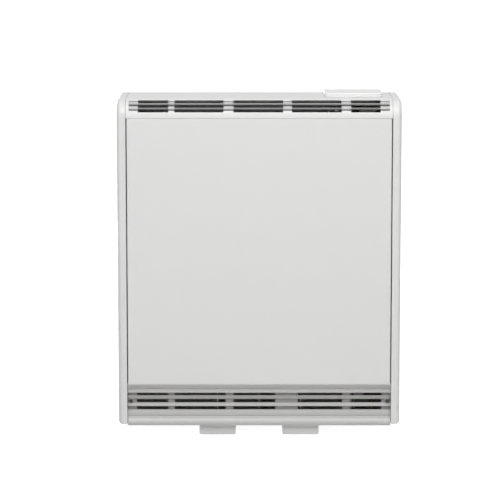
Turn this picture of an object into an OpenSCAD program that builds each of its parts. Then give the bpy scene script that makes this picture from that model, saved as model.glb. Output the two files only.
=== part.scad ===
// Storage heater: a slim steel cabinet with a core of heavy bricks that is heated at night,
// and a damper that lets warm air out of the nose grille by day.
// Millimetres. Origin on the floor under the middle, +Z up, the front faces -Y.

/* [Cabinet] */
// Width over both side panels
body_w = 586; // [572:1:630]
// Height of the flat top above the floor
body_h = 708; // [702:1:750]
// Depth from the front panel to the wall
body_d = 170; // [166:1:186]
// Thickness of the pressed steel panels
sheet = 1.5; // [1.2:0.1:1.8]
// Thickness of the inner steel panels
thin_sheet = 1; // [0.8:0.1:1.2]
// Seam between neighbouring panels
seam = 0.5; // [0.3:0.1:0.8]
// Width of the trim that each side panel shows at the front
trim_w = 18; // [16:1:22]
// Radius along the outer edges of the side panels
edge_r = 8; // [5:0.5:10]
// Radius of the round nose along the top front edge
nose_r = 37; // [34:1:38]
// Shadow gap between the front panel and each trim
shadow_gap = 2.5; // [2:0.5:4]
// Height of the side panels' lower edge above the floor
trim_foot_z = 28; // [26:1:32]
// Height of the front panel's lower edge above the floor
panel_foot_z = 113; // [110:1:118]
// Depth of the folded returns round the front panel
panel_return = 11; // [8:1:12]
// Depth of the recess behind the back panel, which keeps it off the wall
wall_gap = 13.5; // [10:0.5:18]

/* [Feet] */
// Height of the feet
foot_h = 22; // [18:1:24]
// Width of each foot
foot_w = 76; // [66:1:90]
// Distance between the middles of the two feet
foot_pitch = 174; // [150:2:200]
// Setback of the feet behind the front of the cabinet
foot_setback = 25; // [20:1:35]
// Steel thickness of the feet
foot_sheet = 2; // [1.5:0.5:2.5]
// Radius of the lower corners of the feet
foot_r = 4; // [3:0.5:6]

/* [Grilles] */
// Height of one outlet slot in the nose
outlet_slot_h = 4.2; // [3.6:0.1:4.6]
// Distance from one outlet slot to the next
outlet_pitch = 8.4; // [8.2:0.1:8.8]
// Height of the lowest outlet slot's middle above the nose's lower edge
outlet_rise = 14; // [13:0.5:14.5]
// Length of wall between the trims and the first outlet slots
outlet_margin = 25; // [20:1:32]
// Thickness of the nose and of the inlet grille
grille_wall = 3; // [2.5:0.5:3.5]
// Height of one inlet slot
inlet_slot_h = 6; // [4.5:0.1:6.4]
// Distance from one inlet slot to the next
inlet_pitch = 14.9; // [13.5:0.1:15.5]
// Height of the lowest inlet slot's middle above the base rail
inlet_rise = 16.5; // [16:0.5:20]
// Length of wall between the trims and the first inlet slots
inlet_margin = 19; // [17:1:28]
// Setback of the inlet grille behind the front panel's face
inlet_setback = 14; // [11:1:16]
// Height of the rolled rail along the front of the base
rail_h = 21.5; // [18:0.5:22]

/* [Heat store] */
// Room above the core for the damper and the controls
head_room = 53; // [52:0.5:58]
// Room for the wiring between the core and the right side of the cabinet
wiring_room = 94; // [92:1:102]
// Room between the front panel's face and the front heat shield
front_room = 16; // [15:0.5:20]
// Depth of the air ducts in the outer faces of the bricks
duct_d = 8; // [6:0.5:10]
// Width of one air duct
duct_w = 34; // [28:1:40]
// Thickness of the front insulation board
front_board = 20; // [16:1:22]
// Thickness of the back insulation board
back_board = 22; // [18:1:24]
// Thickness of the left insulation board
left_board = 36; // [30:1:38]
// Thickness of the right insulation board
right_board = 30; // [24:1:32]
// Thickness of the insulation slab under the bricks
base_board = 30; // [24:1:32]
// Thickness of the insulation slab on top of the bricks
top_board = 28; // [22:1:29]
// Air space between the left side panel and the inner panel
side_air = 24; // [20:1:26]
// Height of the stand that carries the core above the base tray
stand_h = 80.5; // [79:0.5:82]
// Radius of a heating element's sheath
element_r = 4; // [3:0.25:4.5]
// Distance between the two legs of one heating element
element_legs = 82; // [72:2:92]

/* [Controls] */
// Width of the control cover
cover_w = 120; // [114:1:126]
// Flat strip between the nose grille's seam and the control cover
cover_front_strip = 4; // [3:0.5:8]
// Height of the control cover
cover_h = 8; // [7:0.5:9]
// Wall of the control cover
cover_wall = 2; // [1.5:0.25:2.5]
// Radius of the cover's front corners
cover_r = 8; // [5:0.5:11]
// Distance from the cover's right edge to the right side of the cabinet
cover_inset = 37; // [32:1:42]
// Distance from the cover's back edge to the back of the cabinet
cover_back = 19; // [15:1:24]
// Depth of the dial plate below the flat top
dial_depth = 16; // [15:0.5:19]
// Radius of the control knobs
knob_r = 19; // [16:0.5:20]
// Height of the control knobs
knob_h = 11.5; // [9:0.5:12]
// Distance between the two knobs
knob_pitch = 58; // [54:1:62]
// Radius of the knob spindles
spindle_r = 3; // [2.5:0.25:3.5]
// Turn of each knob from stop to stop, degrees
knob_turn = 270; // [240:10:280]
// Travel of the damper slide over the whole turn of the knob
slide_travel = 10; // [8:0.5:12]
// Length of the crank that turns the damper
crank_l = 20; // [18:0.5:21]

/* [Fits] */
// Clearance all round a piece that turns or slides
running_gap = 0.08; // [0.05:0.01:0.1]
// Clearance all round a fixed piece in its hole
loose_gap = 0.2; // [0.1:0.05:0.3]
// Clearance under a piece that rests or hangs close to its seat
seat_gap = 0.3; // [0.2:0.05:0.4]
// Clearance all round a piece that is pressed or clamped on another
press_gap = 0.02; // [0.01:0.01:0.04]

/* [Hidden] */
$fn = 48;

// Colours, as the casing, the sheet inside, the boards, bricks and small parts show them
WHITE = [0.90, 0.90, 0.89];
PLASTIC_WHITE = [0.91, 0.91, 0.90];
STEEL = [0.70, 0.71, 0.72];
ZINC = [0.62, 0.63, 0.64];
DARK_STEEL = [0.24, 0.24, 0.25];
BOARD = [0.86, 0.82, 0.72];
BRICK = [0.42, 0.30, 0.25];
SHEATH = [0.45, 0.43, 0.42];
CERAMIC = [0.93, 0.91, 0.86];
BRASS = [0.78, 0.63, 0.32];
BLACK = [0.10, 0.10, 0.10];
LEAD_BROWN = [0.45, 0.27, 0.16];
LEAD_BLUE = [0.20, 0.33, 0.62];
LEAD_GREEN = [0.42, 0.55, 0.20];

SIDE_NAMES = ["left", "right"];
LEVEL_NAMES = ["lower", "middle", "upper"];

// Cabinet faces
front_y = -body_d / 2;
back_y = body_d / 2;
side_x = body_w / 2;
inner_x = side_x - trim_w;
panel_x = inner_x - shadow_gap;
fill_x = inner_x - seam;
fold_depth = 14;
top_fold = 12;
tray_fold = 20;
over = 1;

// Nose, and the seams of the flat top
nose_y = front_y + nose_r;
nose_z = body_h - nose_r;
outlet_land = 18;
lip_t = 2;
lip_d = 12;
top_seam_y = nose_y + outlet_land;
back_fold = 30;
back_seam_y = back_y - back_fold;

// Layers of the core, from the wall forwards
back_sheet_y = back_y - wall_gap - sheet;
back_board_y = back_sheet_y - back_board;
brick_t = (back_board_y - front_y - front_room - thin_sheet - front_board) / 2;
element_y = back_board_y - brick_t;
brick_front_y = element_y - brick_t;
front_board_y = brick_front_y - front_board;
shield_y = front_board_y - thin_sheet;
duct_back_y = brick_front_y + duct_d;
stand_sheet = 2;
tray_clear = sheet + seam;

// Layers of the core, from the left to the wiring space
left_panel_x = -side_x + side_air;
left_board_x = left_panel_x + thin_sheet;
core_x = left_board_x + left_board;
wiring_x = side_x - wiring_room;
right_panel_x = wiring_x - thin_sheet;
core_end_x = right_panel_x - right_board;
brick_w = (core_end_x - core_x) / 2;
duct_gap = (brick_w - 3 * duct_w) / 4;

// Layers of the core, from the floor up
base_z = foot_h;
base_top_z = base_z + sheet;
stand_top_z = base_top_z + stand_h;
brick_foot_z = stand_top_z + base_board;
shield_top_z = body_h - head_room;
board_top_z = shield_top_z - thin_sheet;
brick_top_z = board_top_z - top_board;
brick_h = (brick_top_z - brick_foot_z) / 3;

// Rolled rail and inlet grille
rail_r = rail_h / 2;
rail_top_z = base_z + rail_h;
inlet_y = front_y + inlet_setback;
rail_y = inlet_y + 5;
rail_land = 10;
rail_clear_y = rail_y + rail_r + 3.25;
inlet_blade_t = 2;
inlet_blade_d = 6;
chin_from = 25;
chin_to = 62;
chin_r = inlet_setback / (cos(chin_from) - cos(chin_to));
chin_drop = chin_r * (sin(chin_to) - sin(chin_from));
chin_foot_z = panel_foot_z - seam - chin_drop;

// Share of the slotted length that each group of slots takes, and the bars between them
OUTLET_GROUPS = [62.5, 100.5, 102, 102, 60.5];
OUTLET_BARS = [12.5, 20.5, 18, 19.5];
INLET_GROUPS = [65.5, 106, 87, 92.5, 65];
INLET_BARS = [13.5, 16.5, 47.5, 16.5];

// Control cover, tray and knobs
cover_x1 = side_x - cover_inset;
cover_x0 = cover_x1 - cover_w;
control_x = cover_x0 + cover_w / 2;
cover_y1 = back_y - cover_back;
cover_y0 = top_seam_y + cover_front_strip;
hinge_r = cover_h / 2;
hinge_y = cover_y1 - hinge_r;
hinge_z = body_h + seat_gap + hinge_r;
hinge_pin_r = 1.5;
pin_inset = 4.2;
lug_w = 4;
lug_inset = 14;
lug_r = hinge_r - 1;
lug_room = 0.6;
HINGE_LUG_XS = [cover_x0 + lug_inset, cover_x1 - lug_inset - lug_w];
tray_lip = 2;
tray_wall = 2;
tray_inset = cover_wall + 4;
tray_x0 = cover_x0 + tray_inset;
tray_x1 = cover_x1 - tray_inset;
tray_y0 = cover_y0 + tray_inset;
tray_y1 = hinge_y - hinge_r - 4;
tray_rim = 1;
dial_t = 1.5;
dial_top_z = body_h - dial_depth;
tray_floor_z = dial_top_z - dial_t;
tray_foot_z = tray_floor_z - tray_wall;
knob_y = (tray_y0 + tray_y1) / 2;
output_x = control_x - knob_pitch / 2;
input_x = control_x + knob_pitch / 2;
knob_foot_z = dial_top_z + 0.6;
spindle_top_z = knob_foot_z + knob_h - 2.5;

// Damper over the slot in the top of the core
shaft_r = 3;
shaft_y = duct_back_y + 10;
shaft_z = shield_top_z + shaft_r + 2.5;
shaft_sleeve = 1.2;
shaft_end = 1;
flap_t = 1;
flap_lap = 5;
flap_front_y = brick_front_y - flap_lap;
pad_inset = 2;
pad_back = 7;
bearing_t = 3;
bearing_half = 5;
bearing_foot_l = 16;
bearing_foot_t = 2;
end_play = 1.5;
left_bearing_x = core_x - 6;
damper_x0 = left_bearing_x + bearing_t + end_play;
crank_t = 2.5;
crank_half = 4;
crank_hub = 1;
strip_t = 1.5;
strip_w = 14;
cheek_t = 2;
cheek_h = 12;
cheek_half = 6;
cheek_gap = 0.5;
crank_x0 = output_x - strip_w / 2 - crank_t - cheek_gap;
right_bearing_x = crank_x0 - bearing_t - end_play;
damper_x1 = right_bearing_x - end_play;
slot_x0 = core_x + 6;
slot_x1 = damper_x1 - 4;
crank_swing = asin(slide_travel / 2 / crank_l);
crank_pin_r = 2;
crank_pin_l = 5;
pin_side = 0.15;
pin_rise = 1.6;
pin_over = 0.8;
crank_pin_z = shaft_z + crank_l;
strip_z = crank_pin_z - 6;

// Output cam: a spiral whose radius grows evenly as the knob turns
cam_r = 9;
cam_t = 5;
cam_steps = 54;
cam_lift = 0.4;
cam_z = strip_z + strip_t + cam_lift;
follower_r = 2.5;
follower_y = knob_y + cam_r + follower_r;

// Control bracket and the charge thermostat on it
bracket_z = shield_top_z + 6;
bracket_post = 3;
bracket_side = 22;
bracket_front = 20;
bracket_rear = 26;
bracket_top_z = bracket_z + sheet;
stat_w = 34;
stat_h = tray_foot_z - bracket_top_z - 5;
tag_half = 3;
tag_l = 7;
tag_t = 0.8;
stat_tag_z = bracket_top_z + 5;
STAT_TAGS = [-8, 8];

// Wiring space
bush_r = 6;
bush_inner_r = element_r + loose_gap;
bush_x0 = core_end_x + right_board - 8;
bush_x1 = wiring_x + 9;
bush_setback = 1.5;
stud_r = 2;
stud_x1 = bush_x1 + 16;
ring_x = bush_x1 + 5;
ring_t = 1.2;
ring_r = 5;
ring_edge = 0.5;
nut_t = 3.2;
nut_r = 4;
bend_x = core_x + 64;
lead_r = 1.75;
lead_bend = 6;
lead_side = 15;
block_ways = 3;
block_w = 54;
block_d = 20;
block_h = 22;
block_z = base_top_z + 52;
block_y = element_y - 6;
gland_x = wiring_x + 44;
gland_z = base_top_z + 66;
gland_r = 9;
gland_bore_r = 5;
cord_notch = 12;

// Thermostat bulb, thermal cut-out and the runs of the leads
bulb_r = 4;
bulb_l = 110;
bulb_z = brick_foot_z + 1.5 * brick_h - 30;
bulb_x = wiring_x + bulb_r + seat_gap;
bulb_y = element_y + 40;
cutout_r = 9;
cutout_h = 10;
cutout_y = element_y + lead_side + lead_r + cutout_r + 3;
cutout_z = brick_foot_z + 2.5 * brick_h;
cutout_tag_x = wiring_x + cutout_h;
CUTOUT_TAGS = [-5, 5];
block_top_z = block_z + block_h;
lead_x = wiring_x + block_d / 2;
run_x = wiring_x + block_d + 12;
lead_rise = 14;
turn_drop = 11;
tag_end_y = knob_y - stat_w / 2 - tag_l - seat_gap;
cutout_end_x = cutout_tag_x + tag_l + seat_gap;
earth_x = wiring_x + 40;
earth_y = element_y - 20;

// Screws
screw_r = 2;
screw_head_r = 4;
screw_head_h = 2.2;
recess_l = 4.6;
recess_w = 1.1;
recess_depth = 1.3;
grille_screw_l = grille_wall + 4;
casing_screw_l = 5;
foot_screw_l = 8;

foot_y0 = front_y + foot_setback;
foot_y1 = back_sheet_y;
foot_flange = 14;
foot_screw_inset = 28;
foot_screw_x = foot_w / 2 - foot_flange / 2 - foot_sheet / 2;
FOOT_SCREWS = [for (x = [-1, 1]) for (y = [foot_y0 + foot_screw_inset,
                                          foot_y1 - foot_screw_inset]) [x * foot_screw_x, y]];
grille_screw_inset = 7;
grille_screw_z = rail_top_z + inlet_rise + inlet_pitch;
GRILLE_SCREW_XS = [-fill_x + grille_screw_inset, fill_x - grille_screw_inset];
casing_screw_y = back_sheet_y + sheet + wall_gap / 2;
CASING_SCREW_ZS = [90, body_h / 2, body_h - 68];

// Holes for the wall screws, in the back panel above the core
wall_hole_r = 4;
wall_hole_rise = 8;
wall_hole_z = shield_top_z + wall_hole_rise;
wall_hole_x0 = core_x + 32;
wall_hole_pitch = 320;

function brick_name(face, side, level) =
    str(face, "_brick_", SIDE_NAMES[side], "_", LEVEL_NAMES[level]);
function brick_x(side) = core_x + side * brick_w;
function brick_z(level) = brick_foot_z + level * brick_h;
function leg_z(level, end) = brick_z(level) + brick_h / 2 + (end - 0.5) * element_legs;
function way_y(i) = block_y + ((i + 0.5) / block_ways - 0.5) * block_w;
function total(list, count) = count == 0 ? 0 : list[count - 1] + total(list, count - 1);
function unit(v) = v / norm(v);

// ---------- general shapes ----------

module span_box(x0, x1, y0, y1, z0, z1) {
    translate([x0, y0, z0]) cube([x1 - x0, y1 - y0, z1 - z0]);
}

module rod_x(x0, x1, y, z, r) {
    translate([x0, y, z]) rotate([0, 90, 0]) cylinder(h = x1 - x0, r = r);
}

module rod_y(x, y0, y1, z, r) {
    translate([x, y1, z]) rotate([90, 0, 0]) cylinder(h = y1 - y0, r = r);
}

module rod_z(x, y, z0, z1, r) {
    translate([x, y, z0]) cylinder(h = z1 - z0, r = r);
}

module mirrored_x() {
    children();
    mirror([1, 0, 0]) children();
}

// A round rod along a list of points, with a bend of the given radius at each corner
module bent_rod(points, r, bend) {
    last = len(points) - 1;
    for (i = [0 : last - 1]) {
        way = unit(points[i + 1] - points[i]);
        from = i == 0 ? points[0] : points[i] + way * bend_cut(points, i, bend);
        to = i == last - 1 ? points[last] : points[i + 1] - way * bend_cut(points, i + 1, bend);
        straight_rod(from, to, r);
        if (i < last - 1) elbow(points, i + 1, r, bend);
    }
}

function bend_angle(points, i) =
    acos(unit(points[i] - points[i - 1]) * unit(points[i + 1] - points[i]));
function bend_cut(points, i, bend) = bend * tan(bend_angle(points, i) / 2);

module straight_rod(from, to, r) {
    way = to - from;
    length = norm(way);
    translate(from)
        rotate([0, acos(way[2] / length), atan2(way[1], way[0])])
            cylinder(h = length, r = r);
}

module elbow(points, i, r, bend) {
    way = unit(points[i] - points[i - 1]);
    next = unit(points[i + 1] - points[i]);
    inward = unit(next - way * (way * next));
    out = -inward;
    axis = cross(out, way);
    centre = points[i] - way * bend_cut(points, i, bend) + inward * bend;
    multmatrix([
        [out[0], way[0], axis[0], centre[0]],
        [out[1], way[1], axis[1], centre[1]],
        [out[2], way[2], axis[2], centre[2]],
        [0, 0, 0, 1],
    ])
        rotate_extrude(angle = bend_angle(points, i)) translate([bend, 0]) circle(r = r);
}

// A pan-head screw at the origin, its shank going down
module screw(length) {
    difference() {
        cylinder(h = screw_head_h, r = screw_head_r);
        for (turn = [0, 90])
            rotate([0, 0, turn])
                translate([-recess_l / 2, -recess_w / 2, screw_head_h - recess_depth])
                    cube([recess_l, recess_w, recess_depth + over]);
    }
    translate([0, 0, -length]) cylinder(h = length + over / 2, r = screw_r);
}

// ---------- cabinet ----------

// The side panel's outer form, or with an inset the form of its inside, between two planes
module side_slab(inset, x0, x1, edge) {
    low_z = trim_foot_z + edge;
    span_box(x0, x1, nose_y, back_y - inset, low_z, body_h - edge);
    span_box(x0, x1, front_y + edge, nose_y, low_z, nose_z);
    rod_x(x0, x1, nose_y, nose_z, nose_r - edge);
}

module side_form(inset, x0) {
    edge_x = side_x - edge_r;
    round_r = edge_r - inset;
    low_z = trim_foot_z + edge_r;
    side_slab(inset, x0, edge_x, inset);
    side_slab(inset, edge_x - over, side_x - inset, edge_r);
    rod_z(edge_x, front_y + edge_r, low_z, nose_z, round_r);
    rod_y(edge_x, nose_y, back_y - inset, body_h - edge_r, round_r);
    rod_y(edge_x, front_y + edge_r, back_y - inset, low_z, round_r);
    translate([edge_x, front_y + edge_r, low_z]) sphere(r = round_r);
    translate([edge_x, nose_y, nose_z])
        rotate([90, 0, -90])
            rotate_extrude(angle = 90)
                translate([nose_r - edge_r, 0]) circle(r = round_r);
}

module casing_holes(x0, x1) {
    for (z = CASING_SCREW_ZS) rod_x(x0, x1, casing_screw_y, z, screw_r + loose_gap);
}

module side_panel() {
    color(WHITE)
        difference() {
            side_form(0, inner_x);
            side_form(sheet, inner_x + sheet);
            side_slab(fold_depth, inner_x - over, inner_x + 2 * sheet, fold_depth);
            casing_holes(inner_x - over, inner_x + 2 * sheet);
        }
}

module left_side_panel() {
    mirror([1, 0, 0]) side_panel();
}

module right_side_panel() {
    side_panel();
}

module top_panel() {
    x = fill_x;
    color(WHITE)
        difference() {
            union() {
                span_box(-x, x, top_seam_y, back_seam_y, body_h - sheet, body_h);
                span_box(-x, x, top_seam_y, top_seam_y + sheet, body_h - top_fold, body_h);
                mirrored_x() span_box(x - sheet, x, top_seam_y, back_seam_y,
                                      body_h - top_fold, body_h);
            }
            span_box(tray_x0 - loose_gap, tray_x1 + loose_gap, tray_y0 - loose_gap,
                     tray_y1 + loose_gap, body_h - sheet - over, body_h + over);
        }
}

// Slots side by side along X: one box for each group
module slot_row(groups, bars, margin, y0, y1, z, height) {
    length = 2 * (fill_x - margin);
    share = (length - total(bars, len(bars))) / total(groups, len(groups));
    for (i = [0 : len(groups) - 1]) {
        x0 = margin - fill_x + total(groups, i) * share + total(bars, i);
        span_box(x0, x0 + groups[i] * share, y0, y1, z - height / 2, z + height / 2);
    }
}

// A quarter of a round bar along the nose, from facing forwards to facing up
module nose_quarter(x0, x1, r) {
    intersection() {
        rod_x(x0, x1, nose_y, nose_z, r);
        span_box(x0, x1, front_y - over, nose_y, nose_z, body_h + over);
    }
}

module outlet_grille() {
    cheek_x = fill_x - grille_wall;
    color(PLASTIC_WHITE)
        difference() {
            union() {
                nose_quarter(-fill_x, fill_x, nose_r);
                span_box(-fill_x, fill_x, nose_y - over, top_seam_y - seam,
                         body_h - grille_wall, body_h);
                span_box(-fill_x, fill_x, front_y, front_y + lip_d, nose_z - lip_t, nose_z);
            }
            nose_quarter(-cheek_x, cheek_x, nose_r - grille_wall);
            for (row = [0 : 2]) {
                slot_row(OUTLET_GROUPS, OUTLET_BARS, outlet_margin, front_y - over, nose_y,
                         nose_z + outlet_rise + row * outlet_pitch, outlet_slot_h);
            }
        }
}

module front_panel() {
    top_z = nose_z - lip_t - seam;
    deep_y = front_y + panel_return;
    color(WHITE) {
        difference() {
            span_box(-panel_x, panel_x, front_y, deep_y, panel_foot_z, top_z);
            span_box(-panel_x + sheet, panel_x - sheet, front_y + sheet, deep_y + over,
                     panel_foot_z + sheet, top_z - sheet);
        }
    }
}

// The chin under the front panel: an arc that turns from facing forwards to facing down
module chin() {
    steps = 10;
    turn = chin_to - chin_from;
    y = front_y + chin_r * cos(chin_from);
    z = panel_foot_z - seam + chin_r * sin(chin_from);
    outer = [for (i = [0 : steps]) let (a = chin_from + turn * i / steps)
        [y - chin_r * cos(a), z - chin_r * sin(a)]];
    wall = [for (i = [steps : -1 : 0]) let (a = chin_from + turn * i / steps)
        [y - (chin_r - grille_wall) * cos(a), z - (chin_r - grille_wall) * sin(a)]];
    translate([-fill_x, 0, 0])
        rotate([90, 0, 90])
            linear_extrude(height = 2 * fill_x) polygon(concat(outer, wall));
}

module inlet_grille() {
    wall_y = inlet_y + grille_wall;
    color(PLASTIC_WHITE)
        difference() {
            union() {
                chin();
                span_box(-fill_x, fill_x, inlet_y, wall_y, rail_top_z + seam, chin_foot_z + over);
                for (row = [0 : 2]) {
                    blade_z = rail_top_z + inlet_rise + (row - 0.5) * inlet_pitch;
                    span_box(-fill_x + sheet, fill_x - sheet, wall_y - over,
                             wall_y + inlet_blade_d, blade_z - inlet_blade_t / 2,
                             blade_z + inlet_blade_t / 2);
                }
            }
            span_box(-fill_x - over, fill_x + over, front_y - over, wall_y + over,
                     panel_foot_z - seam, panel_foot_z + inlet_setback);
            for (row = [0 : 2]) {
                slot_row(INLET_GROUPS, INLET_BARS, inlet_margin, inlet_y - over, wall_y + over,
                         rail_top_z + inlet_rise + row * inlet_pitch, inlet_slot_h);
            }
            for (x = GRILLE_SCREW_XS) rod_y(x, inlet_y - over, wall_y + over, grille_screw_z,
                                            screw_r + loose_gap);
        }
}

module base_tray() {
    x = inner_x - seam;
    rail_z = base_z + rail_r;
    rear_y = back_sheet_y - seam;
    color(WHITE)
        difference() {
            union() {
                span_box(-x, x, rail_y, rear_y, base_z, base_top_z);
                span_box(-x, x, rail_y, rail_y + rail_land, rail_top_z - sheet, rail_top_z);
                span_box(-x, x, rear_y - sheet, rear_y, base_z, base_z + tray_fold);
                mirrored_x() span_box(x - sheet, x, rail_y, rear_y, base_z, base_z + tray_fold);
                difference() {
                    rod_x(-x, x, rail_y, rail_z, rail_r);
                    rod_x(-x - over, x + over, rail_y, rail_z, rail_r - sheet);
                    span_box(-x - over, x + over, rail_y, rail_y + rail_h,
                             base_z - over, rail_top_z + over);
                }
            }
            foot_holes(base_z - over, base_top_z + over);
        }
}

module back_panel() {
    x = inner_x - seam;
    lip_z = body_h - tray_fold;
    color(WHITE)
        difference() {
            union() {
                span_box(-x, x, back_sheet_y, back_sheet_y + sheet, base_z, body_h - sheet);
                span_box(-x, x, back_seam_y + seam, back_y, body_h - sheet, body_h);
                span_box(-x, x, back_y - sheet, back_y, lip_z, body_h);
                span_box(-x, x, back_sheet_y, back_y, base_z, base_z + sheet);
                mirrored_x() span_box(x - sheet, x, back_sheet_y, back_y, base_z, body_h);
            }
            for (i = [0, 1]) {
                rod_y(wall_hole_x0 + i * wall_hole_pitch, back_sheet_y - over,
                      back_sheet_y + sheet + over, wall_hole_z, wall_hole_r);
            }
            rod_y(gland_x, back_sheet_y - over, back_sheet_y + sheet + over, gland_z, gland_r);
            span_box(gland_x - cord_notch / 2, gland_x + cord_notch / 2, back_y - cord_notch,
                     back_y + over, base_z - over, base_z + sheet + over);
            mirrored_x() casing_holes(x - sheet - over, x + over);
        }
}

// The same pan-head screw holds the grille, the side panels and the feet
module panel_screws() {
    color(DARK_STEEL) {
        for (x = GRILLE_SCREW_XS) {
            translate([x, inlet_y, grille_screw_z]) rotate([90, 0, 0]) screw(grille_screw_l);
        }
        mirrored_x()
            for (z = CASING_SCREW_ZS) {
                translate([fill_x - sheet, casing_screw_y, z])
                    rotate([0, -90, 0]) screw(casing_screw_l);
            }
        mirrored_x()
            translate([foot_pitch / 2, 0, base_top_z])
                for (p = FOOT_SCREWS) translate([p[0], p[1], 0]) screw(foot_screw_l);
    }
}

// ---------- feet ----------

module foot_form(inset, top_z) {
    x = foot_w / 2;
    y0 = foot_y0 + inset;
    y1 = foot_y1 - inset;
    span_box(-x + inset, x - inset, y0, y1, foot_r, top_z);
    span_box(-x + foot_r, x - foot_r, y0, y1, inset, top_z);
    mirrored_x() rod_y(x - foot_r, y0, y1, foot_r, foot_r - inset);
}

module foot() {
    x = foot_w / 2 - foot_flange;
    color(WHITE)
        difference() {
            foot_form(0, foot_h);
            foot_form(foot_sheet, foot_h - foot_sheet);
            span_box(-x, x, foot_y0 + foot_flange, foot_y1 - foot_flange,
                     foot_h - foot_sheet - over, foot_h + over);
            for (p = FOOT_SCREWS) rod_z(p[0], p[1], foot_h - foot_sheet - over, foot_h + over,
                                        screw_r + loose_gap);
        }
}

module foot_holes(z0, z1) {
    mirrored_x()
        translate([foot_pitch / 2, 0, 0])
            for (p = FOOT_SCREWS) rod_z(p[0], p[1], z0, z1, screw_r + loose_gap);
}

module left_foot() {
    translate([-foot_pitch / 2, 0, 0]) foot();
}

module right_foot() {
    translate([foot_pitch / 2, 0, 0]) foot();
}

// ---------- heat store ----------

// A plate on five webs: one at each end, one over the middle of each foot and one between them
module core_stand() {
    x0 = left_board_x;
    x1 = right_panel_x;
    web_inset = 5;
    web_xs = [x0 + web_inset, -foot_pitch / 2, 0, foot_pitch / 2, x1 - web_inset];
    color(STEEL)
        difference() {
            union() {
                span_box(x0, x1, shield_y, back_sheet_y, stand_top_z - stand_sheet, stand_top_z);
                for (x = web_xs) {
                    span_box(x - stand_sheet / 2, x + stand_sheet / 2, rail_clear_y,
                             back_sheet_y - web_inset, base_top_z, stand_top_z - over);
                }
            }
            for (side = [0, 1]) {
                span_box(brick_x(side) + duct_gap, brick_x(side) + brick_w - duct_gap,
                         brick_front_y, duct_back_y, stand_top_z - stand_sheet - over,
                         stand_top_z + over);
            }
        }
}

module board(x0, x1, y0, y1, z0, z1) {
    color(BOARD) span_box(x0, x1, y0, y1, z0, z1);
}

module base_insulation() {
    board(core_x, core_end_x, duct_back_y, back_board_y, stand_top_z, brick_foot_z);
}

module top_insulation() {
    board(core_x, core_end_x, duct_back_y, back_board_y, brick_top_z, board_top_z);
}

module back_insulation() {
    board(left_board_x, right_panel_x, back_board_y, back_sheet_y, stand_top_z, board_top_z);
}

module front_insulation() {
    board(left_board_x, right_panel_x, front_board_y, brick_front_y, stand_top_z, board_top_z);
}

module left_insulation() {
    board(left_board_x, core_x, brick_front_y, back_board_y, stand_top_z, board_top_z);
}

module right_insulation() {
    color(BOARD)
        difference() {
            span_box(core_end_x, right_panel_x, brick_front_y, back_board_y,
                     stand_top_z, board_top_z);
            element_holes(core_end_x - over, right_panel_x + over, bush_r + loose_gap);
        }
}

module element_holes(x0, x1, r) {
    for (level = [0 : 2]) for (end = [0, 1]) rod_x(x0, x1, element_y, leg_z(level, end), r);
}

module front_heat_shield() {
    color(STEEL) {
        span_box(left_board_x, right_panel_x, shield_y, front_board_y, stand_top_z, board_top_z);
    }
}

module top_heat_shield() {
    color(STEEL)
        difference() {
            span_box(left_panel_x, wiring_x, shield_y, back_sheet_y, board_top_z, shield_top_z);
            span_box(slot_x0, slot_x1, brick_front_y, duct_back_y,
                     board_top_z - over, shield_top_z + over);
        }
}

// An inner side panel stands on the base tray, cut back below the core to clear the rail
module inner_panel(x) {
    y1 = back_sheet_y - tray_clear;
    span_box(x, x + thin_sheet, shield_y, y1, stand_top_z, board_top_z);
    span_box(x, x + thin_sheet, rail_clear_y, y1, base_top_z, stand_top_z + over);
}

module left_inner_panel() {
    color(STEEL) inner_panel(left_panel_x);
}

module right_inner_panel() {
    color(STEEL)
        difference() {
            inner_panel(right_panel_x);
            element_holes(right_panel_x - over, wiring_x + over, bush_r + loose_gap);
        }
}

// One heating element's centre line: two legs and the half circle that joins them
module hairpin(level, r, x1) {
    mid_z = brick_z(level) + brick_h / 2;
    for (end = [0, 1]) rod_x(bend_x, x1, element_y, leg_z(level, end), r);
    translate([bend_x, element_y, mid_z])
        rotate([90, -90, 0])
            rotate_extrude(angle = 180) translate([element_legs / 2, 0]) circle(r = r);
}

// A brick with air ducts in its outer face and half-round element channels in its inner face
module brick(outward, side, level) {
    x0 = brick_x(side);
    z0 = brick_z(level);
    y_far = element_y + outward * brick_t;
    color(BRICK)
        difference() {
            span_box(x0 + loose_gap, x0 + brick_w - loose_gap, min(element_y, y_far),
                     max(element_y, y_far), z0, z0 + brick_h);
            for (i = [0 : 2]) {
                x = x0 + duct_gap + i * (duct_w + duct_gap);
                span_box(x, x + duct_w, y_far - duct_d, y_far + duct_d, z0 - over,
                         z0 + brick_h + over);
            }
            hairpin(level, element_r + seat_gap, core_end_x + over);
        }
}

module heating_elements() {
    color(SHEATH)
        for (level = [0 : 2]) {
            hairpin(level, element_r, bush_x1);
            for (end = [0, 1]) {
                rod_x(bush_x1 - over, stud_x1, element_y, leg_z(level, end), stud_r);
            }
        }
}

module element_bushes() {
    color(CERAMIC)
        for (level = [0 : 2]) for (end = [0, 1]) {
            difference() {
                rod_x(bush_x0, bush_x1 - bush_setback, element_y, leg_z(level, end), bush_r);
                rod_x(bush_x0 - over, bush_x1, element_y, leg_z(level, end), bush_inner_r);
            }
        }
}

module element_nuts() {
    color(BRASS)
        for (level = [0 : 2]) for (end = [0, 1]) {
            translate([ring_x + ring_t + running_gap, element_y, leg_z(level, end)])
                rotate([0, 90, 0])
                    difference() {
                        cylinder(h = nut_t, r = nut_r, $fn = 6);
                        translate([0, 0, -over])
                            cylinder(h = nut_t + 2 * over, r = stud_r + press_gap);
                    }
        }
}

// ---------- damper and its drive ----------

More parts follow.
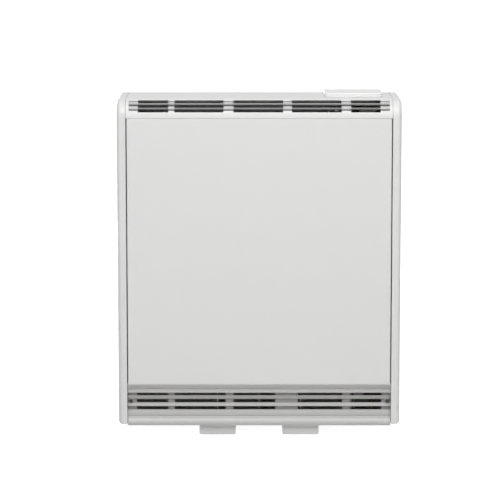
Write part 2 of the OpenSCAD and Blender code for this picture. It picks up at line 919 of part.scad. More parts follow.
module damper_flap() {
    pad_t = shaft_z - shield_top_z - flap_t - seat_gap;
    color(STEEL)
        difference() {
            union() {
                span_box(damper_x0, damper_x1, flap_front_y, shaft_y, shaft_z - flap_t, shaft_z);
                span_box(damper_x0 + pad_inset, damper_x1 - pad_inset, flap_front_y + pad_inset,
                         shaft_y - pad_back, shaft_z - flap_t - pad_t, shaft_z - flap_t);
                rod_x(damper_x0, damper_x1, shaft_y, shaft_z, shaft_r + shaft_sleeve);
            }
            rod_x(damper_x0 - over, damper_x1 + over, shaft_y, shaft_z, shaft_r + press_gap);
        }
}

module damper_shaft() {
    x1 = crank_x0 + crank_t;
    color(ZINC) {
        rod_x(left_bearing_x - shaft_end, x1, shaft_y, shaft_z, shaft_r);
        translate([0, shaft_y, shaft_z])
            rotate([crank_swing, 0, 0]) translate([0, -shaft_y, -shaft_z]) crank();
    }
}

module crank() {
    x1 = crank_x0 + crank_t;
    span_box(crank_x0, x1, shaft_y - crank_half, shaft_y + crank_half, shaft_z, crank_pin_z);
    rod_x(crank_x0, x1, shaft_y, shaft_z, crank_half + crank_hub);
    rod_x(crank_x0, x1, shaft_y, crank_pin_z, crank_half);
    rod_x(crank_x0, x1 + crank_pin_l, shaft_y, crank_pin_z, crank_pin_r);
}

module bearing(x) {
    color(ZINC)
        difference() {
            union() {
                span_box(x, x + bearing_t, shaft_y - bearing_half, shaft_y + bearing_half,
                         shield_top_z, shaft_z);
                rod_x(x, x + bearing_t, shaft_y, shaft_z, bearing_half);
                span_box(x, x + bearing_t, shaft_y, shaft_y + bearing_foot_l,
                         shield_top_z, shield_top_z + bearing_foot_t);
            }
            rod_x(x - over, x + bearing_t + over, shaft_y, shaft_z, shaft_r + running_gap);
        }
}

module damper_bearings() {
    bearing(left_bearing_x);
    bearing(right_bearing_x);
}

module damper_slide() {
    x0 = output_x - strip_w / 2;
    x1 = output_x + strip_w / 2;
    pin_y = shaft_y - slide_travel / 2;
    y1 = follower_y + follower_r + 4;
    slot_half = spindle_r + seat_gap;
    slot_end = spindle_r + 2 * seat_gap;
    color(ZINC) {
        difference() {
            union() {
                span_box(x0, x1, pin_y - cheek_half, y1, strip_z, strip_z + strip_t);
                span_box(x0, x0 + cheek_t, pin_y - cheek_half, pin_y + cheek_half,
                         strip_z, strip_z + cheek_h);
            }
            span_box(output_x - slot_half, output_x + slot_half,
                     knob_y - slide_travel - slot_end, knob_y + slot_end,
                     strip_z - over, strip_z + strip_t + over);
            span_box(x0 - over, x0 + cheek_t + over, pin_y - crank_pin_r - pin_side,
                     pin_y + crank_pin_r + pin_side, crank_pin_z - crank_pin_r - pin_rise,
                     crank_pin_z + crank_pin_r + pin_over);
        }
        rod_z(output_x, follower_y + seat_gap, strip_z + strip_t / 2, cam_z + cam_t, follower_r);
    }
}

// The spiral grows from cam_r by the slide's travel, and turns away from the follower
module output_cam() {
    spiral = [for (i = [0 : cam_steps]) let (a = 90 + knob_turn * i / cam_steps)
        (cam_r + slide_travel * i / cam_steps) * [cos(a), sin(a)]];
    color(BLACK)
        translate([output_x, knob_y, cam_z])
            difference() {
                linear_extrude(height = cam_t) polygon(spiral);
                translate([0, 0, -over])
                    cylinder(h = cam_t + 2 * over, r = spindle_r + press_gap);
            }
}

module output_spindle() {
    color(ZINC) {
        rod_z(output_x, knob_y, bracket_z, spindle_top_z, spindle_r);
    }
}

// A knob with a skirt, a grip bar and a blind hole for its spindle
module knob(x) {
    skirt_h = 3;
    grip_r = knob_r - 4;
    bar_half = 3.2;
    color(PLASTIC_WHITE)
        translate([x, knob_y, knob_foot_z])
            difference() {
                union() {
                    cylinder(h = skirt_h, r = knob_r);
                    cylinder(h = knob_h - 4, r = grip_r);
                    span_box(-bar_half, bar_half, -knob_r + 1, knob_r - 1, 0, knob_h);
                }
                translate([0, 0, -over])
                    cylinder(h = spindle_top_z - knob_foot_z + over + loose_gap,
                             r = spindle_r + press_gap);
            }
}

module output_knob() {
    knob(output_x);
}

module input_knob() {
    knob(input_x);
}

module input_spindle() {
    color(ZINC)
        rod_z(input_x, knob_y, bracket_top_z + stat_h + seat_gap, spindle_top_z, spindle_r);
}

module charge_thermostat() {
    half = stat_w / 2;
    color(PLASTIC_WHITE) {
        span_box(input_x - half, input_x + half, knob_y - half, knob_y + half,
                 bracket_top_z, bracket_top_z + stat_h);
    }
    color(BRASS)
        for (x = STAT_TAGS) {
            span_box(input_x + x - tag_half, input_x + x + tag_half, knob_y - half - tag_l,
                     knob_y - half, stat_tag_z, stat_tag_z + tag_t);
        }
}

module thermostat_bulb() {
    tube_r = 1.2;
    start_x = input_x - 6;
    bend_z = shield_top_z - 30;
    color(BRASS) {
        rod_z(bulb_x, bulb_y, bulb_z, bulb_z + bulb_l, bulb_r);
        bent_rod([[bulb_x, bulb_y, bulb_z + bulb_l - over], [bulb_x, bulb_y, bend_z],
                  [start_x, bulb_y, bend_z], [start_x, bulb_y, bracket_z - 4],
                  [start_x, bulb_y - 8, bracket_z - 4]], tube_r, 3);
    }
}

module control_bracket() {
    x0 = output_x - bracket_side;
    x1 = input_x + stat_w / 2 + 2;
    y0 = knob_y - bracket_front;
    y1 = knob_y + bracket_rear;
    color(ZINC)
        difference() {
            union() {
                span_box(x0, x1, y0, y1, bracket_z, bracket_top_z);
                span_box(x0, x0 + sheet, y0, y1, shield_top_z, tray_foot_z);
                span_box(x1 - sheet, x1, y0, y1, bracket_z, tray_foot_z);
                rod_z(output_x, knob_y, bracket_top_z - over / 2, strip_z - cam_lift,
                      spindle_r + bracket_post);
            }
            rod_z(output_x, knob_y, bracket_z - over, strip_z + over, spindle_r + running_gap);
        }
}

module control_tray() {
    color(PLASTIC_WHITE)
        difference() {
            union() {
                span_box(tray_x0, tray_x1, tray_y0, tray_y1, tray_foot_z, body_h + tray_rim);
                span_box(tray_x0 - tray_lip, tray_x1 + tray_lip, tray_y0 - tray_lip,
                         tray_y1 + tray_lip, body_h, body_h + tray_rim);
                for (x = HINGE_LUG_XS) {
                    span_box(x, x + lug_w, tray_y1, hinge_y + lug_r, body_h, body_h + tray_rim);
                    span_box(x, x + lug_w, hinge_y - lug_r, hinge_y + lug_r, body_h, hinge_z);
                    rod_x(x, x + lug_w, hinge_y, hinge_z, lug_r);
                }
            }
            span_box(tray_x0 + tray_wall, tray_x1 - tray_wall, tray_y0 + tray_wall,
                     tray_y1 - tray_wall, tray_floor_z, body_h + 2);
            for (x = [output_x, input_x]) {
                rod_z(x, knob_y, tray_foot_z - over, tray_floor_z + over, spindle_r + running_gap);
            }
            rod_x(cover_x0, cover_x1, hinge_y, hinge_z, hinge_pin_r + press_gap);
        }
}

module dial_plate() {
    g = loose_gap;
    color(WHITE)
        difference() {
            span_box(tray_x0 + tray_wall + g, tray_x1 - tray_wall - g, tray_y0 + tray_wall + g,
                     tray_y1 - tray_wall - g, tray_floor_z, dial_top_z);
            for (x = [output_x, input_x]) {
                rod_z(x, knob_y, tray_floor_z - over, dial_top_z + over, spindle_r + 0.5);
            }
        }
}

// The cover's outer form, or with an inset its inside: round front corners, a round back edge
module cover_form(inset, back, top_z) {
    r = cover_r - inset;
    z0 = body_h + seat_gap - (inset > 0 ? over : 0);
    x0 = cover_x0 + inset;
    x1 = cover_x1 - inset;
    y0 = cover_y0 + inset;
    span_box(x0 + r, x1 - r, y0, back, z0, top_z);
    span_box(x0, x1, y0 + r, back, z0, top_z);
    for (x = [x0 + r, x1 - r]) rod_z(x, y0 + r, z0, top_z, r);
}

module control_cover() {
    top_z = body_h + seat_gap + cover_h;
    room_back = hinge_y - hinge_r - 1;
    color(PLASTIC_WHITE)
        difference() {
            union() {
                cover_form(0, hinge_y, top_z);
                rod_x(cover_x0, cover_x1, hinge_y, hinge_z, hinge_r);
            }
            cover_form(cover_wall, room_back, top_z - cover_wall);
            for (x = HINGE_LUG_XS) {
                span_box(x - lug_room, x + lug_w + lug_room, room_back - over, cover_y1 + over,
                         body_h, top_z + over);
            }
            rod_x(cover_x0 + pin_inset - loose_gap, cover_x1 - pin_inset + loose_gap,
                  hinge_y, hinge_z, hinge_pin_r + running_gap);
        }
}

module cover_hinge_pin() {
    color(ZINC)
        rod_x(cover_x0 + pin_inset, cover_x1 - pin_inset, hinge_y, hinge_z, hinge_pin_r);
}

// ---------- wiring space ----------

module thermal_cutout() {
    flange_half = 18;
    color(BLACK) {
        rod_x(wiring_x, cutout_tag_x, cutout_y, cutout_z, cutout_r);
        span_box(wiring_x, wiring_x + 1.2, cutout_y - flange_half, cutout_y + flange_half,
                 cutout_z - 5, cutout_z + 5);
    }
    color(BRASS)
        for (z = CUTOUT_TAGS) {
            span_box(cutout_tag_x, cutout_tag_x + tag_l, cutout_y - tag_half, cutout_y + tag_half,
                     cutout_z + z - tag_t / 2, cutout_z + z + tag_t / 2);
        }
}

module terminal_block() {
    color(CERAMIC)
        difference() {
            span_box(wiring_x, wiring_x + block_d, block_y - block_w / 2, block_y + block_w / 2,
                     block_z, block_z + block_h);
            for (i = [0 : block_ways - 1]) {
                rod_x(wiring_x + block_d - 6, wiring_x + block_d + over, way_y(i),
                      block_z + block_h / 2, 3.4);
            }
        }
    color(BRASS)
        for (i = [0 : block_ways - 1]) {
            rod_x(wiring_x + block_d - 6, wiring_x + block_d - 2, way_y(i),
                  block_z + block_h / 2, 3.2);
        }
}

module cord_clamp() {
    y1 = back_sheet_y;
    z = gland_z - 26;
    color(PLASTIC_WHITE)
        difference() {
            span_box(gland_x - 16, gland_x + 16, y1 - 14, y1, z - 6, z + 6);
            rod_z(gland_x, y1 - 6, z - 6 - over, z + 6 + over, gland_bore_r);
        }
    color(ZINC)
        for (x = [-11, 11]) {
            translate([gland_x + x, y1 - 14, z]) rotate([90, 0, 0])
                cylinder(h = screw_head_h, r = screw_head_r);
        }
}

module cable_grommet() {
    color(BLACK)
        difference() {
            union() {
                rod_y(gland_x, back_sheet_y - 2, back_sheet_y - 0.1, gland_z, gland_r + 3);
                rod_y(gland_x, back_sheet_y - 1, back_sheet_y + sheet + 1, gland_z,
                      gland_r - loose_gap);
                rod_y(gland_x, back_sheet_y + sheet + 0.1, back_sheet_y + sheet + 2, gland_z,
                      gland_r + 3);
            }
            rod_y(gland_x, back_sheet_y - 3, back_sheet_y + sheet + 3, gland_z, gland_bore_r);
        }
}

// Jumper leads join the same end of each element, one level to the next
module element_chain(end, side) {
    y0 = element_y + side * (ring_r - ring_edge);
    y1 = element_y + side * lead_side;
    x = ring_x + ring_t / 2;
    apart = lead_r + seat_gap;
    for (level = [0 : 2]) {
        difference() {
            rod_x(ring_x, ring_x + ring_t, element_y, leg_z(level, end), ring_r);
            rod_x(ring_x - over, ring_x + ring_t + over, element_y, leg_z(level, end),
                  stud_r + press_gap);
        }
    }
    for (level = [0, 1]) {
        low_z = leg_z(level, end) + apart;
        high_z = leg_z(level + 1, end) - apart;
        bent_rod([[x, y0, low_z], [x, y1, low_z], [x, y1, high_z], [x, y0, high_z]],
                 lead_r, lead_bend);
    }
}

// From the terminal block to the thermostat, on to the cut-out, and then to the top element
module live_leads() {
    stat_z = stat_tag_z + tag_t / 2;
    drop_z = shield_top_z - 16;
    turn_z = drop_z - 20;
    cutout_run_x = cutout_end_x + 16;
    near_x = input_x + STAT_TAGS[0];
    far_x = input_x + STAT_TAGS[1];
    chain_x = ring_x + ring_t / 2;
    top_z = leg_z(2, 1);
    color(LEAD_BROWN) {
        element_chain(1, -1);
        bent_rod([[lead_x, way_y(0), block_top_z + seat_gap],
                  [lead_x, way_y(0), block_top_z + lead_rise],
                  [run_x, way_y(0), block_top_z + lead_rise], [run_x, way_y(0), turn_z],
                  [near_x, way_y(0), turn_z], [near_x, way_y(0), stat_z],
                  [near_x, tag_end_y, stat_z]], lead_r, lead_bend);
        bent_rod([[far_x, tag_end_y, stat_z], [far_x, tag_end_y - 10, stat_z],
                  [far_x, tag_end_y - 10, drop_z], [far_x, cutout_y, drop_z],
                  [far_x, cutout_y, cutout_z + CUTOUT_TAGS[1]],
                  [cutout_end_x, cutout_y, cutout_z + CUTOUT_TAGS[1]]], lead_r, lead_bend);
        bent_rod([[cutout_end_x, cutout_y, cutout_z + CUTOUT_TAGS[0]],
                  [cutout_run_x, cutout_y, cutout_z + CUTOUT_TAGS[0]],
                  [cutout_run_x, element_y, cutout_z + CUTOUT_TAGS[0]],
                  [cutout_run_x, element_y, top_z + lead_rise],
                  [chain_x, element_y, top_z + lead_rise],
                  [chain_x, element_y, top_z + ring_r - ring_edge]], lead_r, lead_bend);
    }
}

module neutral_leads() {
    low_z = leg_z(0, 0);
    turn_z = low_z - ring_r - turn_drop;
    chain_x = ring_x + ring_t / 2;
    color(LEAD_BLUE) {
        element_chain(0, 1);
        bent_rod([[lead_x, way_y(1), block_top_z + seat_gap],
                  [lead_x, way_y(1), block_top_z + lead_rise],
                  [run_x, way_y(1), block_top_z + lead_rise], [run_x, way_y(1), turn_z],
                  [chain_x, way_y(1), turn_z], [chain_x, way_y(1), low_z - ring_r + ring_edge]],
                 lead_r, lead_bend);
    }
}

// The earth lead, with the stud on the base tray that it is screwed to
module earth_lead() {
    stud_h = 14;
    color(LEAD_GREEN) {
        bent_rod([[lead_x, way_y(2), block_z - seat_gap], [lead_x, way_y(2), block_z - 16],
                  [earth_x, way_y(2), block_z - 16], [earth_x, earth_y, block_z - 16],
                  [earth_x, earth_y, base_top_z + stud_h - 2]], lead_r, lead_bend);
        rod_z(earth_x, earth_y, base_top_z, base_top_z + stud_h, screw_r + 0.5);
        translate([earth_x, earth_y, base_top_z]) cylinder(h = 4, r = 4.5, $fn = 6);
    }
}

// ---------- one node at a time ----------

left_side_panel();
right_side_panel();
top_panel();
outlet_grille();
front_panel();
inlet_grille();
base_tray();
back_panel();
left_foot();
right_foot();
panel_screws();
core_stand();
base_insulation();
back_insulation();
front_insulation();
left_insulation();
right_insulation();
top_insulation();
front_heat_shield();
top_heat_shield();
left_inner_panel();
right_inner_panel();
for (side = [0, 1], level = [0 : 2]) {
    brick(-1, side, level);
    brick(1, side, level);
}
heating_elements();
element_bushes();
element_nuts();
damper_flap();
damper_shaft();
damper_bearings();
damper_slide();
output_cam();
output_spindle();
output_knob();
input_spindle();
input_knob();
charge_thermostat();
thermostat_bulb();
control_bracket();
control_tray();
dial_plate();
control_cover();
cover_hinge_pin();
thermal_cutout();
terminal_block();
cord_clamp();
cable_grommet();
live_leads();
neutral_leads();
earth_lead();
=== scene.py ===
"""The slim storage heater as it is seen: its edges, louvres, knobs and finishes.

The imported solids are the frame. Pieces of the cabinet that show are modelled again here with
their bends and edges, and the works inside keep their solids and get their finishes. Sizes are in
metres, in the frame of the part: origin on the floor, +Z up, the front faces -Y.
"""

import logging
import math
from collections.abc import Callable, Iterable, Sequence
from dataclasses import dataclass, field
from enum import Enum

import bmesh
import bpy
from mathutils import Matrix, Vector


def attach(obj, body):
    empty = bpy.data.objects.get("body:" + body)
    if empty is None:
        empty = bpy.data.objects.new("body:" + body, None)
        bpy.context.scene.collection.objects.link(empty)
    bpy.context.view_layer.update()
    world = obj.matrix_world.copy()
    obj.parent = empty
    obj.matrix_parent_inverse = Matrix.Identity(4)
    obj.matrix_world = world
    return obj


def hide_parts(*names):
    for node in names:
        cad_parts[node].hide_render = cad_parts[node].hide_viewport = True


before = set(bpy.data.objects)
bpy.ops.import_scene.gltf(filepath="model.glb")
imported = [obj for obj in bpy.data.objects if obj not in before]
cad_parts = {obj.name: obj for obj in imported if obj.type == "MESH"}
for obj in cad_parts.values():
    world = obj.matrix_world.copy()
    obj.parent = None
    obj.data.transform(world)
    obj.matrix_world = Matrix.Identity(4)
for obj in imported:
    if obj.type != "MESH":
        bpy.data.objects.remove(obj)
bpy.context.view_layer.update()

Piece = bpy.types.Object
Output = bpy.types.NodeSocket
Pair = tuple[float, float]
Triple = tuple[float, float, float]
Bounds = tuple[float, float, float, float]
# Three numbers: a place, or a way along X, Y and Z.
Point = Sequence[float]

LOG = logging.getLogger("storage_heater")
MM = 0.001
# How far a cutting tool reaches past what it cuts.
OVER = 2 * MM
# Points closer than this lie together. Slot tools keep this distance from the blades' faces.
NEAR = 0.05 * MM
# A face looks along a way if the cosine of the angle between them is over this.
FACING = 0.9
# Edges that turn by less than this many degrees are shaded smoothly.
SMOOTH_ANGLE = 38
# Width of the photograph in pixels.
PHOTO_SIDE = 500


# ---------- making meshes ----------


class Editing:
    """Edit mode on one object, with everything else deselected."""

    def __init__(self, piece: Piece) -> None:
        """Takes the mesh object to edit.

        Args:
            piece: the mesh object.
        """
        self.piece = piece

    def __enter__(self) -> "Editing":
        """Goes into edit mode.

        Returns:
            This editing, for the piece's edges and faces.
        """
        select_only(self.piece)
        bpy.ops.object.mode_set(mode="EDIT")
        return self

    def __exit__(self, *_: object) -> None:
        """Goes back to object mode."""
        bpy.ops.object.mode_set(mode="OBJECT")

    def pick(self, mode: str, kind: str, test: Callable[..., bool]) -> None:
        """Selects the elements of the mesh that pass a test, and nothing else.

        Args:
            mode: select mode, EDGE or FACE.
            kind: the mesh's list of such elements.
            test: says whether an element is wanted.
        """
        bpy.ops.mesh.select_mode(type=mode)
        bpy.ops.mesh.select_all(action="DESELECT")
        mesh = bmesh.from_edit_mesh(self.piece.data)
        for element in getattr(mesh, kind):
            if test(element):
                element.select_set(True)
        bmesh.update_edit_mesh(self.piece.data)

    def round_edges(
        self, test: Callable[[bmesh.types.BMEdge], bool], radius: float, segments: int
    ) -> None:
        """Rounds the edges that pass a test.

        Args:
            test: says whether an edge is wanted.
            radius: radius of the rounding.
            segments: flats across it.
        """
        self.pick("EDGE", "edges", test)
        bpy.ops.mesh.bevel(offset=radius, segments=segments, affect="EDGES", clamp_overlap=False)

    def hollow(self, rim: float, way: Point) -> None:
        """Sinks the faces that look against a way into the solid.

        Args:
            rim: width of the rim that stays round them.
            way: how far and where they are pushed.
        """
        ahead = Vector(way).normalized()
        self.pick("FACE", "faces", lambda face: face.normal.dot(ahead) < -FACING)
        bpy.ops.mesh.inset(thickness=rim, depth=0)
        bpy.ops.mesh.extrude_region_move(TRANSFORM_OT_translate={"value": way})


def lies_at(edge: bmesh.types.BMEdge, axis: int, value: float) -> bool:
    """Says whether an edge lies in a plane across an axis.

    Args:
        edge: the edge.
        axis: 0, 1 or 2 for X, Y or Z.
        value: where the plane crosses the axis.

    Returns:
        Whether both ends of the edge lie in it.
    """
    return all(abs(end.co[axis] - value) < NEAR for end in edge.verts)


def select_only(piece: Piece) -> None:
    """Deselects everything, then selects one object and makes it active.

    Args:
        piece: the object.
    """
    bpy.ops.object.select_all(action="DESELECT")
    piece.select_set(True)
    bpy.context.view_layer.objects.active = piece


def settle(piece: Piece) -> Piece:
    """Puts a piece's place, turn and size into its mesh.

    Args:
        piece: the object.

    Returns:
        The same object, at the origin, unturned and unscaled.
    """
    select_only(piece)
    bpy.ops.object.transform_apply(location=True, rotation=True, scale=True)
    return piece


def add_box(name: str, low: Point, high: Point) -> Piece:
    """A box between two corners.

    Args:
        name: name of the object.
        low: lowest corner.
        high: highest corner.

    Returns:
        The box, settled.
    """
    bpy.ops.object.select_all(action="DESELECT")
    middle = [(a + b) / 2 for a, b in zip(low, high)]
    bpy.ops.mesh.primitive_cube_add(size=1, location=middle)
    box = bpy.context.active_object
    box.name = name
    box.scale = [b - a for a, b in zip(low, high)]
    return settle(box)


def add_rod(name: str, start: Point, end: Point, radius: float, sides: int = 48) -> Piece:
    """A round rod between two points.

    Args:
        name: name of the object.
        start: middle of one end.
        end: middle of the other end.
        radius: radius of the rod.
        sides: number of flats round it.

    Returns:
        The rod, settled.
    """
    bpy.ops.object.select_all(action="DESELECT")
    way = Vector(end) - Vector(start)
    middle = (Vector(end) + Vector(start)) / 2
    bpy.ops.mesh.primitive_cylinder_add(
        vertices=sides, radius=radius, depth=way.length, location=middle
    )
    rod = bpy.context.active_object
    rod.name = name
    rod.rotation_euler = way.to_track_quat("Z", "Y").to_euler()
    return settle(rod)


def sweep_outline(name: str, outline: Sequence[Point], way: Point) -> Piece:
    """Draws a closed outline vertex by vertex, fills it and extrudes it.

    Args:
        name: name of the object.
        outline: the corners in order, as points in space.
        way: how far and where the filled outline is extruded.

    Returns:
        The closed solid.
    """
    bpy.ops.object.select_all(action="DESELECT")
    bpy.ops.mesh.primitive_plane_add(size=MM, location=(0, 0, 0))
    piece = bpy.context.active_object
    piece.name = name
    points = [Vector(point) for point in outline]
    with Editing(piece):
        bpy.ops.mesh.select_mode(type="VERT")
        bpy.ops.mesh.select_all(action="SELECT")
        bpy.ops.mesh.merge(type="CENTER")
        bpy.ops.transform.translate(value=points[0])
        for before, after in zip(points, points[1:]):
            bpy.ops.mesh.extrude_region_move(
                TRANSFORM_OT_translate={"value": after - before}
            )
        bpy.ops.mesh.select_all(action="SELECT")
        bpy.ops.mesh.edge_face_add()
        bpy.ops.mesh.extrude_region_move(TRANSFORM_OT_translate={"value": Vector(way)})
        bpy.ops.mesh.select_all(action="SELECT")
        bpy.ops.mesh.normals_make_consistent(inside=False)
    return piece


def along_x(name: str, outline: Sequence[Pair], x0: float, x1: float) -> Piece:
    """A solid with one section all along X.

    Args:
        name: name of the object.
        outline: corners of the section, as (y, z).
        x0: where it starts.
        x1: where it ends.

    Returns:
        The closed solid.
    """
    return sweep_outline(name, [(x0, y, z) for y, z in outline], (x1 - x0, 0, 0))


def arc(middle: Pair, radius: float, start: float, end: float, steps: int) -> list[Pair]:
    """Points along an arc.

    Args:
        middle: middle of the arc.
        radius: its radius.
        start: first angle in degrees, counted from the first axis towards the second.
        end: last angle in degrees.
        steps: number of stretches between the points.

    Returns:
        The points, both ends included.
    """
    angles = [math.radians(start + (end - start) * i / steps) for i in range(steps + 1)]
    return [(middle[0] + radius * math.cos(a), middle[1] + radius * math.sin(a)) for a in angles]


def join(name: str, pieces: Sequence[Piece]) -> Piece:
    """Makes several objects one.

    Args:
        name: name of the whole.
        pieces: the objects; the first one keeps its data.

    Returns:
        The whole.
    """
    select_only(pieces[0])
    for piece in pieces[1:]:
        piece.select_set(True)
    bpy.ops.object.join()
    pieces[0].name = name
    return pieces[0]


def apply_modifier(piece: Piece, modifier: bpy.types.Modifier) -> None:
    """Applies one modifier of a piece."""
    select_only(piece)
    bpy.ops.object.modifier_apply(modifier=modifier.name)


def combine(piece: Piece, others: Sequence[Piece], operation: str) -> Piece:
    """Cuts other solids out of a piece, or merges them with it.

    Args:
        piece: the piece that stays.
        others: the solids that are used up; they don't touch each other.
        operation: DIFFERENCE or UNION.

    Returns:
        The piece.
    """
    tool = join("tool", list(others))
    change = piece.modifiers.new("combine", "BOOLEAN")
    change.operation = operation
    change.solver = "EXACT"
    change.object = tool
    apply_modifier(piece, change)
    bpy.data.objects.remove(tool)
    return piece


def cut(piece: Piece, others: Sequence[Piece]) -> Piece:
    """Cuts other solids out of a piece."""
    return combine(piece, others, "DIFFERENCE")


def soften(piece: Piece, width: float, segments: int = 2, angle: float = 32) -> Piece:
    """Rounds the sharp edges of a piece and shades it smoothly.

    Args:
        piece: the piece.
        width: width of the rounding.
        segments: flats across the rounding.
        angle: edges that turn by more than this many degrees are rounded.

    Returns:
        The piece.
    """
    if width > 0:
        rounding = piece.modifiers.new("soften", "BEVEL")
        rounding.width = width
        rounding.segments = segments
        rounding.limit_method = "ANGLE"
        rounding.angle_limit = math.radians(angle)
        rounding.use_clamp_overlap = True
        rounding.miter_outer = "MITER_ARC"
        apply_modifier(piece, rounding)
    select_only(piece)
    bpy.ops.object.shade_smooth_by_angle(angle=math.radians(SMOOTH_ANGLE))
    weighing = piece.modifiers.new("weigh", "WEIGHTED_NORMAL")
    weighing.keep_sharp = True
    apply_modifier(piece, weighing)
    return piece


def mark_depth(piece: Piece, depth_of: Callable[[Vector], float]) -> None:
    """Stores at each vertex how deep it lies in a recess.

    Args:
        piece: the piece.
        depth_of: the depth at a point.
    """
    depth = piece.data.attributes.new("depth", "FLOAT", "POINT")
    for vertex in piece.data.vertices:
        depth.data[vertex.index].value = depth_of(vertex.co)


def own_copy(piece: Piece, name: str) -> Piece:
    """A copy of a piece with a mesh of its own.

    Args:
        piece: the piece that is copied.
        name: name of the copy.

    Returns:
        The copy.
    """
    copy = piece.copy()
    copy.data = piece.data.copy()
    copy.name = name
    bpy.context.collection.objects.link(copy)
    return copy


def mirrored(piece: Piece, name: str) -> Piece:
    """A copy of a piece on the other side of the middle plane.

    Args:
        piece: the piece that is copied.
        name: name of the copy.

    Returns:
        The copy, with its faces pointing outwards.
    """
    copy = own_copy(piece, name)
    copy.scale.x = -1
    settle(copy)
    with Editing(copy):
        bpy.ops.mesh.select_all(action="SELECT")
        bpy.ops.mesh.normals_make_consistent(inside=False)
    return copy


def finish_piece(
    piece: Piece,
    coat: "Coat",
    nodes: Iterable[str] = (),
    body: str = "cabinet",
) -> None:
    """Gives a piece its finish, its body and the nodes that it stands for.

    Args:
        piece: the finished mesh.
        coat: the finish.
        nodes: nodes that it replaces.
        body: body that it rides on.
    """
    piece.data.materials.clear()
    piece.data.materials.append(coat.value.material())
    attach(piece, body)
    if nodes:
        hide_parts(*nodes)
    LOG.info("piece %s on %s, %d faces", piece.name, body, len(piece.data.polygons))


# ---------- finishes ----------


class Sockets:
    """Adds nodes to a tree and wires them, so that a finish reads from top to bottom."""

    def __init__(self, tree: bpy.types.NodeTree) -> None:
        """Takes the node tree to work in.

        Args:
            tree: the node tree.
        """
        self.tree = tree

    def node(
        self, kind: str, inputs: dict[str | int, object] | None = None, **values: object
    ) -> bpy.types.Node:
        """A new node.

        Args:
            kind: type name of the node.
            inputs: what its inputs get: values, or outputs of other nodes.
            values: properties of the node, by name.

        Returns:
            The node.
        """
        made = self.tree.nodes.new(kind)
        for name, value in values.items():
            setattr(made, name, value)
        self.feed(made, inputs or {})
        return made

    def feed(self, node: bpy.types.Node, inputs: dict[str | int, object]) -> None:
        """Sets or wires inputs of a node.

        Args:
            node: the node.
            inputs: what its inputs get: values, or outputs of other nodes.
        """
        for place, value in inputs.items():
            if isinstance(value, Output):
                self.tree.links.new(value, node.inputs[place])
            else:
                node.inputs[place].default_value = value

    def math(self, operation: str, *values: object) -> Output:
        """The result of a sum.

        Args:
            operation: Blender's name for it.
            values: its terms: numbers, or outputs of other nodes.

        Returns:
            The output with the result.
        """
        return self.node(
            "ShaderNodeMath", dict(enumerate(values)), operation=operation
        ).outputs[0]

    def ramp(self, value: Output, start: Pair, end: Pair) -> Output:
        """A value brought from one range to another, and held within it.

        Args:
            value: the output that gives it.
            start: lowest and highest value that come in.
            end: what becomes of them.

        Returns:
            The output with the result.
        """
        return self.node("ShaderNodeMapRange", {
            "Value": value, "From Min": start[0], "From Max": start[1],
            "To Min": end[0], "To Max": end[1],
        }).outputs[0]

    def blend(self, share: Output, under: object, over: object) -> Output:
        """Two colours mixed.

        Args:
            share: the output that gives the share of the second colour.
            under: the first colour, or the output that gives it.
            over: the second colour, or the output that gives it.

        Returns:
            The output with the mixed colour.
        """
        return self.node(
            "ShaderNodeMix", {"Factor": share, 6: under, 7: over}, data_type="RGBA"
        ).outputs[2]

    def place(self) -> Output:
        """The output with the place on the object."""
        return self.node("ShaderNodeTexCoord").outputs["Object"]


def new_group(
    name: str, inputs: dict[str, float | tuple], outputs: dict[str, str]
) -> tuple[Sockets, bpy.types.bpy_prop_collection, bpy.types.Node]:
    """An empty shader node group with named sockets.

    Args:
        name: name of the group.
        inputs: each input's name and default: a number, or a colour of four.
        outputs: each output's name and socket type.

    Returns:
        The sockets of the group's tree, what comes in, and the node that takes what goes out.
    """
    group = bpy.data.node_groups.new(name, "ShaderNodeTree")
    for label, default in inputs.items():
        kind = "NodeSocketColor" if isinstance(default, tuple) else "NodeSocketFloat"
        made = group.interface.new_socket(label, in_out="INPUT", socket_type=kind)
        made.default_value = default
    for label, kind in outputs.items():
        group.interface.new_socket(label, in_out="OUTPUT", socket_type=kind)
    sockets = Sockets(group)
    return (sockets, sockets.node("NodeGroupInput").outputs, sockets.node("NodeGroupOutput"))


def fine_grain() -> bpy.types.NodeTree:
    """The group for a surface's fine grain: a mottled colour and a height, from noise.

    Returns:
        The node tree, built once.
    """
    if "fine grain" in bpy.data.node_groups:
        return bpy.data.node_groups["fine grain"]
    sockets, given, ends = new_group(
        "fine grain",
        {"Colour": (0.8, 0.8, 0.8, 1), "Mottle": 0.02, "Mottle Scale": 9.0,
         "Grain Scale": 900.0, "Stretch": 1.0},
        {"Colour": "NodeSocketColor", "Height": "NodeSocketFloat", "Patch": "NodeSocketFloat"},
    )
    spread = sockets.node("ShaderNodeCombineXYZ", {"X": given["Stretch"], "Y": 1, "Z": 1})
    stretched = sockets.node(
        "ShaderNodeVectorMath", {0: sockets.place(), 1: spread.outputs[0]}, operation="MULTIPLY"
    ).outputs[0]
    grain = sockets.node(
        "ShaderNodeTexNoise", {"Vector": stretched, "Scale": given["Grain Scale"], "Detail": 2}
    ).outputs["Fac"]
    patch = sockets.node(
        "ShaderNodeTexNoise", {"Vector": stretched, "Scale": given["Mottle Scale"], "Detail": 3}
    ).outputs["Fac"]
    centred = sockets.math("SUBTRACT", patch, 0.5)
    amount = sockets.math("MULTIPLY_ADD", centred, given["Mottle"], 1)
    shade = sockets.node(
        "ShaderNodeVectorMath", {0: given["Colour"], "Scale": amount}, operation="SCALE"
    )
    sockets.feed(ends, {"Colour": shade.outputs[0], "Height": grain, "Patch": patch})
    return sockets.tree


